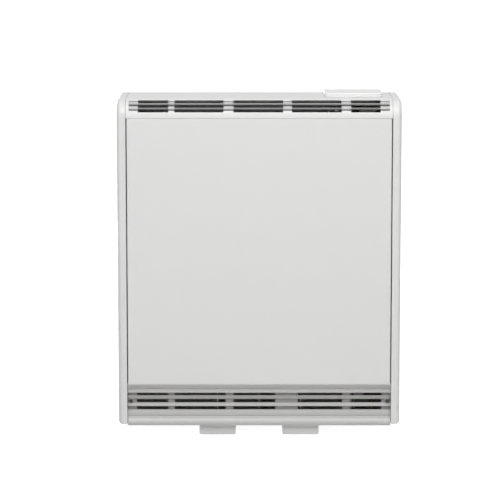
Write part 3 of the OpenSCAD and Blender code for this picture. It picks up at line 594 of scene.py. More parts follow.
def settled_dust() -> bpy.types.NodeTree:
    """The group for a trace of dust on faces that look up.

    Returns:
        The node tree, built once.
    """
    if "settled dust" in bpy.data.node_groups:
        return bpy.data.node_groups["settled dust"]
    sockets, given, ends = new_group(
        "settled dust",
        {"Colour": (0.8, 0.8, 0.8, 1), "Dust": (0.6, 0.58, 0.54, 1), "Amount": 0.1},
        {"Colour": "NodeSocketColor", "Mask": "NodeSocketFloat"},
    )
    surface = sockets.node("ShaderNodeNewGeometry")
    parts = sockets.node("ShaderNodeSeparateXYZ", {0: surface.outputs["Normal"]})
    # Faces tilted by more than 41 degrees stay clean.
    upward = sockets.ramp(parts.outputs["Z"], (0.75, 1), (0, 1))
    specks = sockets.node(
        "ShaderNodeTexNoise", {"Vector": sockets.place(), "Scale": 260, "Detail": 4}
    )
    mask = sockets.math("MULTIPLY", upward, specks.outputs["Fac"])
    weighed = sockets.math("MULTIPLY", mask, given["Amount"])
    mixed = sockets.blend(weighed, given["Colour"], given["Dust"])
    sockets.feed(ends, {"Colour": mixed, "Mask": weighed})
    return sockets.tree


@dataclass(frozen=True)
class Finish:
    """A surface finish: its grain and dust, over one Principled shader."""

    label: str  # name of the material
    colour: Triple  # base colour
    roughness: float = 0.5  # how matt it is
    metallic: float = 0.0  # 1 on bare metal
    mottle: float = 0.02  # share by which the colour wanders
    mottle_scale: float = 9.0  # how small the wandering patches are
    grain_scale: float = 900.0  # how fine the grain is
    grain_depth: float = 0.00002  # height of the grain, in metres
    stretch: float = 1.0  # below 1 draws the grain out along X, as rolling does
    roughness_spread: float = 0.08  # how far the roughness wanders
    dust: float = 0.0  # how much dust shows on faces that look up

    def material(self) -> bpy.types.Material:
        """Builds the material of this finish at the first call.

        Returns:
            The material.
        """
        if self.label in bpy.data.materials:
            return bpy.data.materials[self.label]
        made = bpy.data.materials.new(self.label)
        made.use_nodes = True
        made.diffuse_color = (*self.colour, 1)
        sockets = Sockets(made.node_tree)
        shader = made.node_tree.nodes["Principled BSDF"]
        grain = sockets.node("ShaderNodeGroup", node_tree=fine_grain())
        sockets.feed(grain, {
            "Colour": (*self.colour, 1), "Mottle": self.mottle, "Stretch": self.stretch,
            "Mottle Scale": self.mottle_scale, "Grain Scale": self.grain_scale,
        })
        colour = self.colour_over(sockets, grain)
        if self.dust > 0:
            dust = sockets.node("ShaderNodeGroup", node_tree=settled_dust())
            sockets.feed(dust, {"Amount": self.dust, "Colour": colour})
            colour = dust.outputs["Colour"]
        rough = sockets.ramp(grain.outputs["Patch"], (0, 1), (
            self.roughness - self.roughness_spread, self.roughness + self.roughness_spread
        ))
        sockets.feed(shader, {
            "Base Color": colour, "Roughness": rough, "Metallic": self.metallic
        })
        if self.grain_depth > 0:
            bump = sockets.node("ShaderNodeBump", {
                "Distance": self.grain_depth, "Strength": 1, "Height": grain.outputs["Height"]
            })
            sockets.feed(shader, {"Normal": bump.outputs[0]})
        return made

    def colour_over(self, sockets: Sockets, grain: bpy.types.Node) -> Output:
        """The colour under the dust.

        Args:
            sockets: the material's sockets.
            grain: the grain group.

        Returns:
            The socket that gives the colour.
        """
        return grain.outputs["Colour"]


@dataclass(frozen=True)
class RecessShadeFinish(Finish):
    """A finish with painted shade that darkens its recesses, by the piece's depth attribute."""

    shade_colour: Triple = (0.3, 0.3, 0.3)  # painted shade colour deep in a recess
    shade_from: float = 0.002  # depth at which the painted shade starts
    shade_at: float = 0.0055  # depth at which the painted shade is full

    def colour_over(self, sockets: Sockets, grain: bpy.types.Node) -> Output:
        """Mixes the painted shade colour into the grain's colour.

        Args:
            sockets: the material's sockets.
            grain: the grain group.

        Returns:
            The socket that gives the colour.
        """
        # Painted shade: the deeper a point lies, the more of the shade colour it gets.
        depth = sockets.node("ShaderNodeAttribute", attribute_name="depth")
        share = sockets.ramp(depth.outputs["Fac"], (self.shade_from, self.shade_at), (0, 1))
        return sockets.blend(share, grain.outputs["Colour"], (*self.shade_colour, 1))


@dataclass(frozen=True)
class FlakedFinish(Finish):
    """A finish with flakes or grit in it: zinc spangle, pressed fibre, iron ore."""

    flake_colour: Triple = (0.5, 0.5, 0.5)  # colour of the flakes
    flake_scale: float = 220.0  # how small they are
    flake_share: float = 0.4  # how strongly they show

    def colour_over(self, sockets: Sockets, grain: bpy.types.Node) -> Output:
        """Mixes the flakes into the grain's colour.

        Args:
            sockets: the material's sockets.
            grain: the grain group.

        Returns:
            The socket that gives the colour.
        """
        flakes = sockets.node(
            "ShaderNodeTexVoronoi", {"Vector": sockets.place(), "Scale": self.flake_scale}
        )
        parts = sockets.node("ShaderNodeSeparateColor", {0: flakes.outputs["Color"]})
        share = sockets.math("MULTIPLY", parts.outputs[0], self.flake_share)
        return sockets.blend(share, grain.outputs["Colour"], (*self.flake_colour, 1))


# What the finishes of one kind share.
POWDER = {"mottle": 0.012, "mottle_scale": 4, "grain_scale": 420, "grain_depth": 0.00004,
          "dust": 0.05}
MOULDED = {"mottle": 0.01, "grain_scale": 1500, "grain_depth": 0.000012, "dust": 0.05}
SLEEVE = {"mottle": 0.08, "mottle_scale": 80}


class Coat(Enum):
    """The finishes of the heater."""

    CASING = Finish("powder_coat_white", (0.76, 0.76, 0.755), 0.42, **POWDER)
    MOULDING = Finish("moulded_white", (0.83, 0.83, 0.825), 0.38, **MOULDED)
    # Painted shade: the same white powder coat made darker, for the shaded rail low down by the
    # floor.
    TRAY = Finish("powder_coat_painted_shade", (0.575, 0.575, 0.571), 0.42, **POWDER)
    # Painted shade: the outlet's blades and steps darken with their depth behind the nose's face.
    OUTLET = RecessShadeFinish("grille_white_painted_shade", (0.77, 0.77, 0.767), 0.42, **MOULDED)
    # Painted shade: the inlet's ribs and valleys darken with depth behind its face. Its darker
    # base tone is partly the moulding's own grey and partly painted shade under the front panel.
    INLET = RecessShadeFinish("grille_grey_painted_shade", (0.61, 0.606, 0.597), 0.42, **MOULDED,
                         shade_colour=(0.36, 0.357, 0.35), shade_from=-0.0005, shade_at=0.002)
    KNOB = Finish("knob_white", (0.80, 0.80, 0.79), 0.32, mottle=0.01,
                  grain_scale=2200, grain_depth=0.000008)
    DIAL = Finish("dial_plate_grey", (0.60, 0.60, 0.59), 0.55, mottle=0.02,
                  grain_scale=1800, grain_depth=0.00001)
    PRINT = Finish("dial_print_dark", (0.05, 0.05, 0.055), 0.5, mottle=0.05, grain_depth=0)
    ZINC = FlakedFinish("zinc_plate", (0.50, 0.51, 0.52), 0.38, 1.0, mottle=0.08,
                        mottle_scale=60, grain_depth=0.00001,
                        flake_colour=(0.62, 0.62, 0.63), flake_scale=340, flake_share=0.35)
    DARK_SCREW = Finish("screw_black_oxide", (0.03, 0.033, 0.03), 0.5, mottle=0.2,
                        mottle_scale=300, grain_depth=0.00001)
    INNER_STEEL = FlakedFinish("galvanised_sheet", (0.52, 0.53, 0.54), 0.45, 0.9,
                               mottle=0.06, mottle_scale=30, grain_depth=0.00001,
                               flake_colour=(0.66, 0.67, 0.68), flake_scale=150,
                               flake_share=0.5)
    BOARD = FlakedFinish("fibre_board", (0.66, 0.60, 0.46), 0.9, mottle=0.12,
                         mottle_scale=40, grain_scale=500, grain_depth=0.0003,
                         flake_colour=(0.74, 0.70, 0.60), flake_scale=500,
                         flake_share=0.6)
    BRICK = FlakedFinish("iron_ore_brick", (0.11, 0.065, 0.05), 0.85, mottle=0.2,
                         mottle_scale=50, grain_scale=700, grain_depth=0.0003,
                         flake_colour=(0.20, 0.13, 0.11), flake_scale=620,
                         flake_share=0.6)
    SHEATH = Finish("element_sheath", (0.16, 0.15, 0.145), 0.45, 0.9, mottle=0.3,
                    mottle_scale=35, grain_scale=800)
    CERAMIC = Finish("bush_ceramic", (0.80, 0.77, 0.70), 0.4, mottle=0.04,
                     grain_scale=1400)
    BRASS = Finish("brass", (0.60, 0.42, 0.15), 0.34, 1.0, mottle=0.1, mottle_scale=90)
    BLACK = Finish("black_moulding", (0.02, 0.02, 0.021), 0.45, mottle=0.1,
                   grain_scale=1300)
    INNER_PLASTIC = Finish("inner_moulding", (0.66, 0.65, 0.62), 0.5, grain_scale=1200)
    RUBBER = Finish("grommet_rubber", (0.025, 0.025, 0.025), 0.75, mottle=0.2,
                    grain_scale=900)
    BROWN = Finish("lead_brown", (0.16, 0.06, 0.025), 0.5, **SLEEVE)
    BLUE = Finish("lead_blue", (0.03, 0.09, 0.34), 0.5, **SLEEVE)
    GREEN = Finish("lead_green", (0.14, 0.26, 0.03), 0.5, **SLEEVE)


# ---------- the cabinet ----------


@dataclass
class Cabinet:
    """The pressed casing: side panels, front panel, flat top, back panel and base tray."""

    half_width: float = 293 * MM  # half the width over the side panels
    height: float = 708 * MM  # height of the flat top
    front: float = -85 * MM  # Y of the front
    back: float = 85 * MM  # Y of the back
    trim: float = 18 * MM  # width of each side panel's trim
    edge: float = 8 * MM  # radius along the side panels' outer edges
    nose: float = 37 * MM  # radius of the round nose
    nose_lip: float = 2 * MM  # height of the lip below the nose
    nose_seam: float = 18 * MM  # how far behind its centre line the nose ends at the flat top
    back_seam: float = 30 * MM  # how far before the back the flat top ends
    trim_rim: float = 14 * MM  # width of the rim round the side panels' hollow
    trim_foot: float = 28 * MM  # height of the side panels' lower edge
    seam: float = 0.5 * MM  # seam between panels
    sheet: float = 1.5 * MM  # thickness of the sheet
    shadow_gap: float = 2.1 * MM  # gap between the front panel and each side panel
    panel_foot: float = 113 * MM  # height of the front panel's lower edge
    panel_return: float = 11 * MM  # depth of the front panel's bent edges
    panel_edge: float = 1.8 * MM  # radius along the front panel's edges
    top_fold: float = 12 * MM  # depth of the flat top's fold behind the nose
    back_fold: float = 20 * MM  # depth of the back panel's fold at its top
    tray_fold: float = 20 * MM  # height of the base tray's folds
    wall_gap: float = 13.5 * MM  # distance of the back sheet from the wall
    base: float = 22 * MM  # height of the base tray above the floor
    rail_r: float = 8.6 * MM  # radius of the rolled rail
    rail_h: float = 21.5 * MM  # height of the tray's front, the rail and the land above it
    rail_back: float = 8.25 * MM  # distance of the rail's face from the cabinet's front
    rail_lap: float = 12 * MM  # how far behind its middle the land above the rail ends
    land_angle: float = 125  # where the rail goes over into the land, in degrees from the back
    wall_hole_x: float = -200 * MM  # X of the left wall hole
    wall_hole_pitch: float = 320 * MM  # distance between the wall holes
    wall_hole_z: float = 663 * MM  # height of the wall holes
    wall_hole_r: float = 4 * MM  # radius of the wall holes

    @property
    def inner(self) -> float:
        """X of the inner face of the right trim."""
        return self.half_width - self.trim

    @property
    def fill(self) -> float:
        """Half the length of what fills the space between the trims."""
        return self.inner - self.seam

    @property
    def nose_middle(self) -> Pair:
        """Y and Z of the nose's centre line."""
        return self.front + self.nose, self.height - self.nose

    @property
    def back_sheet(self) -> float:
        """Y of the back sheet's inner face."""
        return self.back - self.wall_gap - self.sheet

    def side_panel(self) -> Piece:
        """The right side panel: a slab with a round nose, round outer edges and a hollow inside.

        Returns:
            The piece, without a finish.
        """
        nose_y, nose_z = self.nose_middle
        outline = [(self.back, self.trim_foot), (self.front, self.trim_foot)]
        outline += arc((nose_y, nose_z), self.nose, 180, 90, 14)
        outline.append((self.back, self.height))
        panel = along_x("right_side", outline, self.inner, self.half_width)
        with Editing(panel) as editing:
            editing.round_edges(
                lambda edge: lies_at(edge, 0, self.half_width) and not lies_at(edge, 1, self.back),
                self.edge, 8,
            )
            editing.hollow(self.trim_rim, (self.trim - 2 * self.sheet, 0, 0))
        return soften(panel, 0.5 * MM)

    def front_panel(self) -> Piece:
        """The front panel: a shallow tray with bent edges.

        Returns:
            The piece, without a finish.
        """
        half = self.inner - self.shadow_gap
        top = self.nose_middle[1] - self.nose_lip - self.seam
        rear = self.front + self.panel_return
        panel = add_box("front_cover", (-half, self.front, self.panel_foot), (half, rear, top))
        with Editing(panel) as editing:
            editing.round_edges(
                lambda edge: lies_at(edge, 1, self.front)
                or abs(edge.verts[0].co.y - edge.verts[1].co.y) > NEAR,
                self.panel_edge, 5,
            )
            editing.hollow(self.sheet, (0, self.sheet - self.panel_return, 0))
        return soften(panel, 0.3 * MM)

    def top_panel(self, hole: Bounds) -> Piece:
        """The flat top, with a hole for the control tray.

        Args:
            hole: the hole's x0, x1, y0 and y1.

        Returns:
            The piece, without a finish.
        """
        seam_front = self.nose_middle[0] + self.nose_seam
        seam_back = self.back - self.back_seam
        fill, height, sheet, fold = self.fill, self.height, self.sheet, self.top_fold
        outline = [
            (seam_front, height - fold), (seam_front, height), (seam_back, height),
            (seam_back, height - sheet), (seam_front + sheet, height - sheet),
            (seam_front + sheet, height - fold),
        ]
        panel = along_x("flat_top", outline, -fill, fill)
        x0, x1, y0, y1 = hole
        cut(panel, [add_box("hole", (x0, y0, height - OVER - sheet), (x1, y1, height + OVER))])
        return soften(panel, 0.6 * MM)

    def back_panel(self, gland: Triple, notch: float) -> Piece:
        """The back panel: a sheet with flanges that stand it off the wall.

        Args:
            gland: x, z and radius of the cable entry.
            notch: width of the cord's notch in the bottom flange.

        Returns:
            The piece, without a finish.
        """
        y0, y1, sheet, fold = self.back_sheet, self.back, self.sheet, self.back_fold
        top, base, fill = self.height, self.base, self.fill
        seam_back = y1 - self.back_seam + self.seam
        outline = [
            (seam_back, top), (y1, top), (y1, top - fold), (y1 - sheet, top - fold),
            (y1 - sheet, top - sheet), (y0 + sheet, top - sheet), (y0 + sheet, base + sheet),
            (y1, base + sheet), (y1, base), (y0, base), (y0, top - sheet),
            (seam_back, top - sheet),
        ]
        panel = along_x("wall_side", outline, -fill + sheet, fill - sheet)
        flanges = [
            add_box("flange", (-fill, y0, base), (-fill + sheet, y1, top)),
            add_box("flange", (fill - sheet, y0, base), (fill, y1, top)),
        ]
        combine(panel, flanges, "UNION")
        holes = [(x, self.wall_hole_z, self.wall_hole_r, 32)
                 for x in (self.wall_hole_x, self.wall_hole_x + self.wall_hole_pitch)]
        tools = [add_rod("hole", (x, y0 - OVER, z), (x, y0 + 2 * OVER, z), radius, sides)
                 for x, z, radius, sides in (*holes, (*gland, 40))]
        x = gland[0]
        tools.append(add_box("notch", (x - notch / 2, y1 - notch, base - OVER),
                             (x + notch / 2, y1 + OVER, base + OVER)))
        cut(panel, tools)
        return soften(panel, 0.35 * MM)

    def base_tray(self) -> Piece:
        """The base tray, whose front is rolled into a round rail.

        Returns:
            The piece, without a finish.
        """
        radius = self.rail_r
        rail_y = self.front + self.rail_back + radius
        base, sheet = self.base, self.sheet
        middle = (rail_y, base + radius)
        rear = self.back_sheet - self.seam
        rail_top = base + self.rail_h
        land = rail_y + radius * math.cos(math.radians(self.land_angle))
        lap = rail_y + self.rail_lap
        fold_top = base + self.tray_fold
        outline = [(lap, rail_top), (land, rail_top)]
        outline += arc(middle, radius, self.land_angle, 270, 20)
        outline += [(rear, base), (rear, fold_top), (rear - sheet, fold_top),
                    (rear - sheet, base + sheet)]
        outline += arc(middle, radius - sheet, 270, self.land_angle, 20)
        outline += [(land + sheet, rail_top - sheet), (lap, rail_top - sheet)]
        fill = self.fill
        tray = along_x("base_rail", outline, -fill, fill)
        lift = 0.2 * MM
        folds = [
            add_box("fold", (x - sheet / 2, rail_y + lift, base + lift),
                    (x + sheet / 2, rear - lift, fold_top))
            for x in (sheet / 2 - fill, fill - sheet / 2)
        ]
        return soften(join("base_rail", [tray, *folds]), 0.3 * MM)

    def build(self, controls: "Controls", wiring: "Wiring") -> None:
        """Makes and dresses the casing.

        Args:
            controls: gives the hole for the control tray.
            wiring: gives the cable entry.
        """
        right = self.side_panel()
        gland = (wiring.gland_x, wiring.gland_z, wiring.gland_r)
        pieces = {
            "right_side_panel": right,
            "left_side_panel": mirrored(right, "left_side"),
            "front_panel": self.front_panel(),
            "top_panel": self.top_panel(controls.tray_hole),
            "back_panel": self.back_panel(gland, wiring.notch),
            "base_tray": self.base_tray(),
        }
        for node, piece in pieces.items():
            # The base tray takes the darker coat, which is painted shade.
            coat = Coat.TRAY if node == "base_tray" else Coat.CASING
            finish_piece(piece, coat, [node])


@dataclass
class Grilles:
    """The louvred outlet in the nose and the inlet under the front panel."""

    cabinet: Cabinet  # the casing that carries them
    wall: float = 3 * MM  # thickness of the mouldings
    lip_depth: float = 12 * MM  # depth of the lip below the nose
    shell_rear: float = 12 * MM  # where the thicker part of the nose ends, before its centre line
    end_wall: float = 6 * MM  # wall between trim and the outlet's steps
    slot_end: float = 10 * MM  # where the outlet's slots end, before the nose's centre line
    outlet_rise: float = 13.7 * MM  # height of the lowest outlet slot above the nose's lower edge
    outlet_pitch: float = 8.4 * MM  # distance between the outlet slots
    outlet_slot: float = 4.6 * MM  # height of an outlet slot
    outlet_margin: float = 25 * MM  # wall between trim and first slot
    inlet_first: float = 59.8 * MM  # Z of the lowest inlet slot
    inlet_pitch: float = 14.9 * MM  # distance between the inlet slots
    inlet_slot: float = 6.6 * MM  # height of an inlet slot
    inlet_margin: float = 19 * MM  # wall between trim and first slot
    inlet_setback: float = 14 * MM  # setback of the inlet's face
    # First and last angle of the inlet's chin, in degrees below the front.
    chin: Pair = (42, 57)
    bead: float = 1 * MM  # how far the bead over the top rib stands before the inlet's face
    # How far the bead starts below the chin, and ends below the topmost row's upper edge.
    bead_ends: Pair = (0.8 * MM, 0.3 * MM)
    # The ribs' rounding, as mm behind the inlet's face and below the slot.
    rib_round: tuple[Pair, ...] = ((1.5, 0.4), (0.9, 2.2), (0.4, 4.6), (0, 7))
    top_rib: float = 2 * MM  # how far the topmost rib stands back
    top_trim: float = 0.8 * MM  # how much less high the topmost slot is
    # How far the cove over the rail stands back, and its height.
    cove: Pair = (0.4 * MM, 5 * MM)
    groove: float = 2.2 * MM  # depth of the outlet's steps between the slots
    # How far the lowest outlet slot reaches further down, and the topmost one further up.
    end_extra: float = 0.8 * MM
    bar_line: float = 1.7 * MM  # height of the steps on the outlet's bars
    bar_lean: float = 1.4 * MM  # how far the steps on the outlet's bars lean back at their foot
    blade_back: float = 2.2 * MM  # how far the blades' edges lie behind the nose's face
    blade_lean: float = 3.2 * MM  # how far a blade of the outlet leans back at its foot
    outlet_fall: float = 0.14  # slope of the outlet slots' floors
    inlet_fall: float = 0.3  # slope of the inlet slots' floors
    valley: float = 6 * MM  # depth of the valleys between the inlet's ribs
    rib_lean: float = 1.2 * MM  # how far a rib of the inlet leans back at its foot
    screw_inset: float = 7 * MM  # distance of the inlet's screws from its ends
    screw_z: float = 74.9 * MM  # height of the inlet's screws
    boss_r: float = 4.6 * MM  # radius of the bosses that they sit on
    # Shares of the length that the outlet's groups of slots take.
    outlet_groups: tuple[float, ...] = (62.5, 100.5, 102, 102, 60.5)
    outlet_bars: tuple[float, ...] = (12.5, 20.5, 18, 19.5)  # the bars between them, in mm
    # Shares of the length that the inlet's groups of slots take.
    inlet_groups: tuple[float, ...] = (65.5, 106, 87, 92.5, 65)
    inlet_bars: tuple[float, ...] = (13.5, 16.5, 47.5, 16.5)  # the bars between them, in mm

    def spans(self, groups: Sequence[float], bars: Sequence[float], margin: float) -> list[Pair]:
        """Where each group of slots starts and ends.

        Args:
            groups: shares of the length that the groups take.
            bars: lengths of the bars between them.
            margin: wall before the first group and after the last.

        Returns:
            The start and end of each group along X.
        """
        length = 2 * (self.cabinet.fill - margin)
        share = (length - sum(bars) * MM) / sum(groups)
        found = []
        x = margin - self.cabinet.fill
        for i, group in enumerate(groups):
            found.append((x, x + group * share))
            x += group * share + (bars[i] * MM if i < len(bars) else 0)
        return found

    @property
    def inlet_face(self) -> float:
        """Y of the inlet's face."""
        return self.cabinet.front + self.inlet_setback

    @property
    def inlet_rows(self) -> list[float]:
        """Z of the inlet's rows of slots, from below."""
        return [self.inlet_first + i * self.inlet_pitch for i in range(3)]

    def nose_face(self, z: float) -> float:
        """Y of the nose's face at a height."""
        y, middle = self.cabinet.nose_middle
        return y - math.sqrt(self.cabinet.nose**2 - (z - middle) ** 2)

    def outlet_shell(self) -> Piece:
        """The nose: a round shell with a land behind it, a lip below and a cheek at each end.

        Behind the louvres the shell is thicker.

        Returns:
            The closed shell without louvres.
        """
        cabinet = self.cabinet
        y, z = cabinet.nose_middle
        top, lip = cabinet.height, cabinet.nose_lip
        rear = y + cabinet.nose_seam - cabinet.seam
        rear_wall = y - self.shell_rear
        lip_rear = cabinet.front + self.lip_depth
        inner = cabinet.nose - self.wall
        outline = [(lip_rear, z - lip), (cabinet.front, z - lip)]
        outline += arc((y, z), cabinet.nose, 180, 90, 28)
        outline += [(rear, top), (rear, top - self.wall), (rear_wall, top - self.wall)]
        outline += [(rear_wall, z + inner / 4)]
        outline += arc((y, z), inner, 164, 180, 3)
        outline.append((lip_rear, z))
        shell = along_x("nose_grille", outline, -cabinet.fill, cabinet.fill)
        inside = cabinet.nose - self.wall / 2
        cheek_outline = [(y, z - lip / 2)] + arc((y, z), inside, 180, 90, 12)
        cheeks = [
            along_x("cheek", cheek_outline, x, x + self.wall)
            for x in (-cabinet.fill + MM / 2, cabinet.fill - MM / 2 - self.wall)
        ]
        return combine(shell, cheeks, "UNION")

    def louvre_band(self, openings: Sequence[Pair], back: float, lean: float) -> list[Pair]:
        """The section of what is cut off the nose to leave blades with steps between.

        Args:
            openings: lower and upper Z of each step, from below.
            back: how far the blades' edges lie behind the nose's face.
            lean: how far a blade leans back at its foot.

        Returns:
            The corners of the closed section, as (y, z).
        """
        outside = self.cabinet.front - OVER
        top = openings[-1][1]
        face = self.nose_face(openings[0][0])
        band = [(outside, openings[0][0])]
        for i, (low, high) in enumerate(openings):
            band.append((face, low))
            above = openings[i + 1][0] if high < top else top
            face = self.nose_face(above) + back
            floor = face + lean + self.groove
            band.append((floor, low - self.outlet_fall * self.groove))
            band.append((floor, high))
            band.append((face + (lean if high < top else -back), high))
        band.append((outside, top))
        return band

    def through_slot(self, span: Pair, reach: Pair, height: Pair, fall: float) -> Piece:
        """A tool for one slot, whose floor falls towards the inside like a louvre's.

        Args:
            span: where it starts and ends along X.
            reach: where it starts and ends along Y.
            height: where it starts and ends along Z, in front.
            fall: how steeply the floor falls.

        Returns:
            The tool.
        """
        (y0, y1), (low, high) = reach, height
        drop = fall * (y1 - y0)
        outline = [(y0, low), (y0, high), (y1, high - drop / 3), (y1, low - drop)]
        return along_x("slot", outline, *span)

    def outlet_grille(self) -> Piece:
        """The nose with its louvres: slots in the groups, and steps that run on between them.

        Returns:
            The piece, without a finish.
        """
        shell = self.outlet_shell()
        y, z = self.cabinet.nose_middle
        ends = self.cabinet.fill - self.end_wall
        rows = [z + self.outlet_rise + i * self.outlet_pitch for i in range(3)]
        lines = [(row, row + self.bar_line) for row in rows]
        cut(shell, [along_x("band", self.louvre_band(lines, 0, self.bar_lean), -ends, ends)])
        half, extra = self.outlet_slot / 2, self.end_extra
        steps = [
            (rows[0] - half - extra, rows[0] + half - extra / 2),
            (rows[1] - half, rows[1] + half),
            (rows[2] - half, rows[2] + half + extra),
        ]
        groups = self.spans(self.outlet_groups, self.outlet_bars, self.outlet_margin)
        blades = self.louvre_band(steps, self.blade_back, self.blade_lean)
        cut(shell, [along_x("blades", blades, *span) for span in groups])
        inside = y - self.slot_end
        slots = [
            self.through_slot(span, (self.nose_face(low), inside), (low + NEAR, high - NEAR),
                              self.outlet_fall)
            for low, high in steps
            for span in groups
        ]
        cut(shell, slots)
        soften(shell, 0.35 * MM)
        # This depth drives the outlet's painted shade in its recesses.
        mark_depth(shell, lambda spot: self.cabinet.nose - math.hypot(spot.y - y, spot.z - z)
                   if spot.z > z and spot.y < y else 0)
        return shell

    def inlet_outline(self) -> list[Pair]:
        """The inlet's section: chin, ribs that round out of their valleys, and a cove to the rail.

        Returns:
            The corners of the closed section, as (y, z).
        """
        start, end = self.chin
        radius = self.inlet_setback / (math.cos(math.radians(start)) - math.cos(math.radians(end)))
        top = self.cabinet.panel_foot - self.cabinet.seam
        middle = (self.cabinet.front + radius * math.cos(math.radians(start)),
                  top + radius * math.sin(math.radians(start)))
        outline = arc(middle, radius, 180 + start, 180 + end, 10)
        chin_foot = outline[-1][1]
        half = self.inlet_slot / 2
        face, valley, rows = self.inlet_face, self.inlet_face + self.valley, self.inlet_rows
        bead = face - self.bead
        below, above = self.bead_ends
        outline += [(bead, chin_foot - below), (bead, rows[-1] + half - above)]
        for z in reversed(rows):
            back, trim = (self.top_rib, self.top_trim) if z == rows[-1] else (0, 0)
            top_edge = z + half - trim
            outline += [(outline[-1][0] + self.rib_lean, top_edge), (valley, top_edge)]
            outline.append((valley, z - half))
            outline += [(face + back + in_mm * MM, z - half - down_mm * MM)
                        for in_mm, down_mm in self.rib_round]
        rail_top = self.cabinet.base + self.cabinet.rail_h + self.cabinet.seam
        cove = face + self.cove[0]
        outline += [(cove, rail_top + self.cove[1]), (cove, rail_top)]
        rear = valley + self.wall
        outline += [(rear, rail_top), (rear, chin_foot)]
        outline += arc(middle, radius - self.wall, 180 + end, 180 + start, 10)
        return outline

    def inlet_grille(self) -> Piece:
        """The inlet: its section along the whole width, the slots and the two screw seats.

        Returns:
            The piece, without a finish.
        """
        fill = self.cabinet.fill
        grille = along_x("inlet_louvre", self.inlet_outline(), -fill, fill)
        face = self.inlet_face
        half = self.inlet_slot / 2
        slots = [
            self.through_slot(span, (face + self.valley / 2, face + self.valley + 2 * self.wall),
                              (z - half + NEAR, z + half - NEAR), self.inlet_fall)
            for z in self.inlet_rows
            for span in self.spans(self.inlet_groups, self.inlet_bars, self.inlet_margin)
        ]
        cut(grille, slots)
        seat = [(side * (fill - self.screw_inset), face, self.screw_z) for side in (-1, 1)]
        depth = self.valley + self.wall / 2
        bosses = [add_rod("boss", (x, y, z), (x, y + depth, z), self.boss_r, 32)
                  for x, y, z in seat]
        combine(grille, bosses, "UNION")
        soften(grille, 0.35 * MM)
        # This depth drives the inlet's painted shade in its valleys.
        mark_depth(grille, lambda spot: spot.y - face)
        return grille

    def build(self) -> None:
        """Makes and dresses both grilles."""
        finish_piece(self.outlet_grille(), Coat.OUTLET, ["outlet_grille"])
        finish_piece(self.inlet_grille(), Coat.INLET, ["inlet_grille"])


@dataclass
class Feet:
    """The two pressed feet."""

    pitch: float = 174 * MM  # distance between their middles
    width: float = 76 * MM  # width of each
    height: float = 22 * MM  # their height
    front: float = -60 * MM  # Y of their front
    back: float = 70 * MM  # Y of their back
    corner: float = 4 * MM  # radius of the lower corners
    rim: float = 14 * MM  # width of the rim round the hollow
    sheet: float = 2 * MM  # thickness of the floor under the hollow

    def foot(self) -> Piece:
        """The right foot: a channel with rounded lower corners, hollow from above.

        Returns:
            The piece, without a finish.
        """
        x0, x1 = (self.pitch - self.width) / 2, (self.pitch + self.width) / 2
        outline = [(x1, self.height), (x0, self.height)]
        outline += arc((x0 + self.corner, self.corner), self.corner, 180, 270, 6)
        outline += arc((x1 - self.corner, self.corner), self.corner, 270, 360, 6)
        foot = sweep_outline("right_stand", [(x, self.front, z) for x, z in outline],
                             (0, self.back - self.front, 0))
        with Editing(foot) as editing:
            editing.hollow(self.rim, (0, 0, self.sheet - self.height))
        return soften(foot, 0.9 * MM, 3)

    def build(self) -> None:
        """Makes and dresses both feet."""
        right = self.foot()
        left = mirrored(right, "left_stand")
        finish_piece(right, Coat.CASING, ["right_foot"])
        finish_piece(left, Coat.CASING, ["left_foot"])


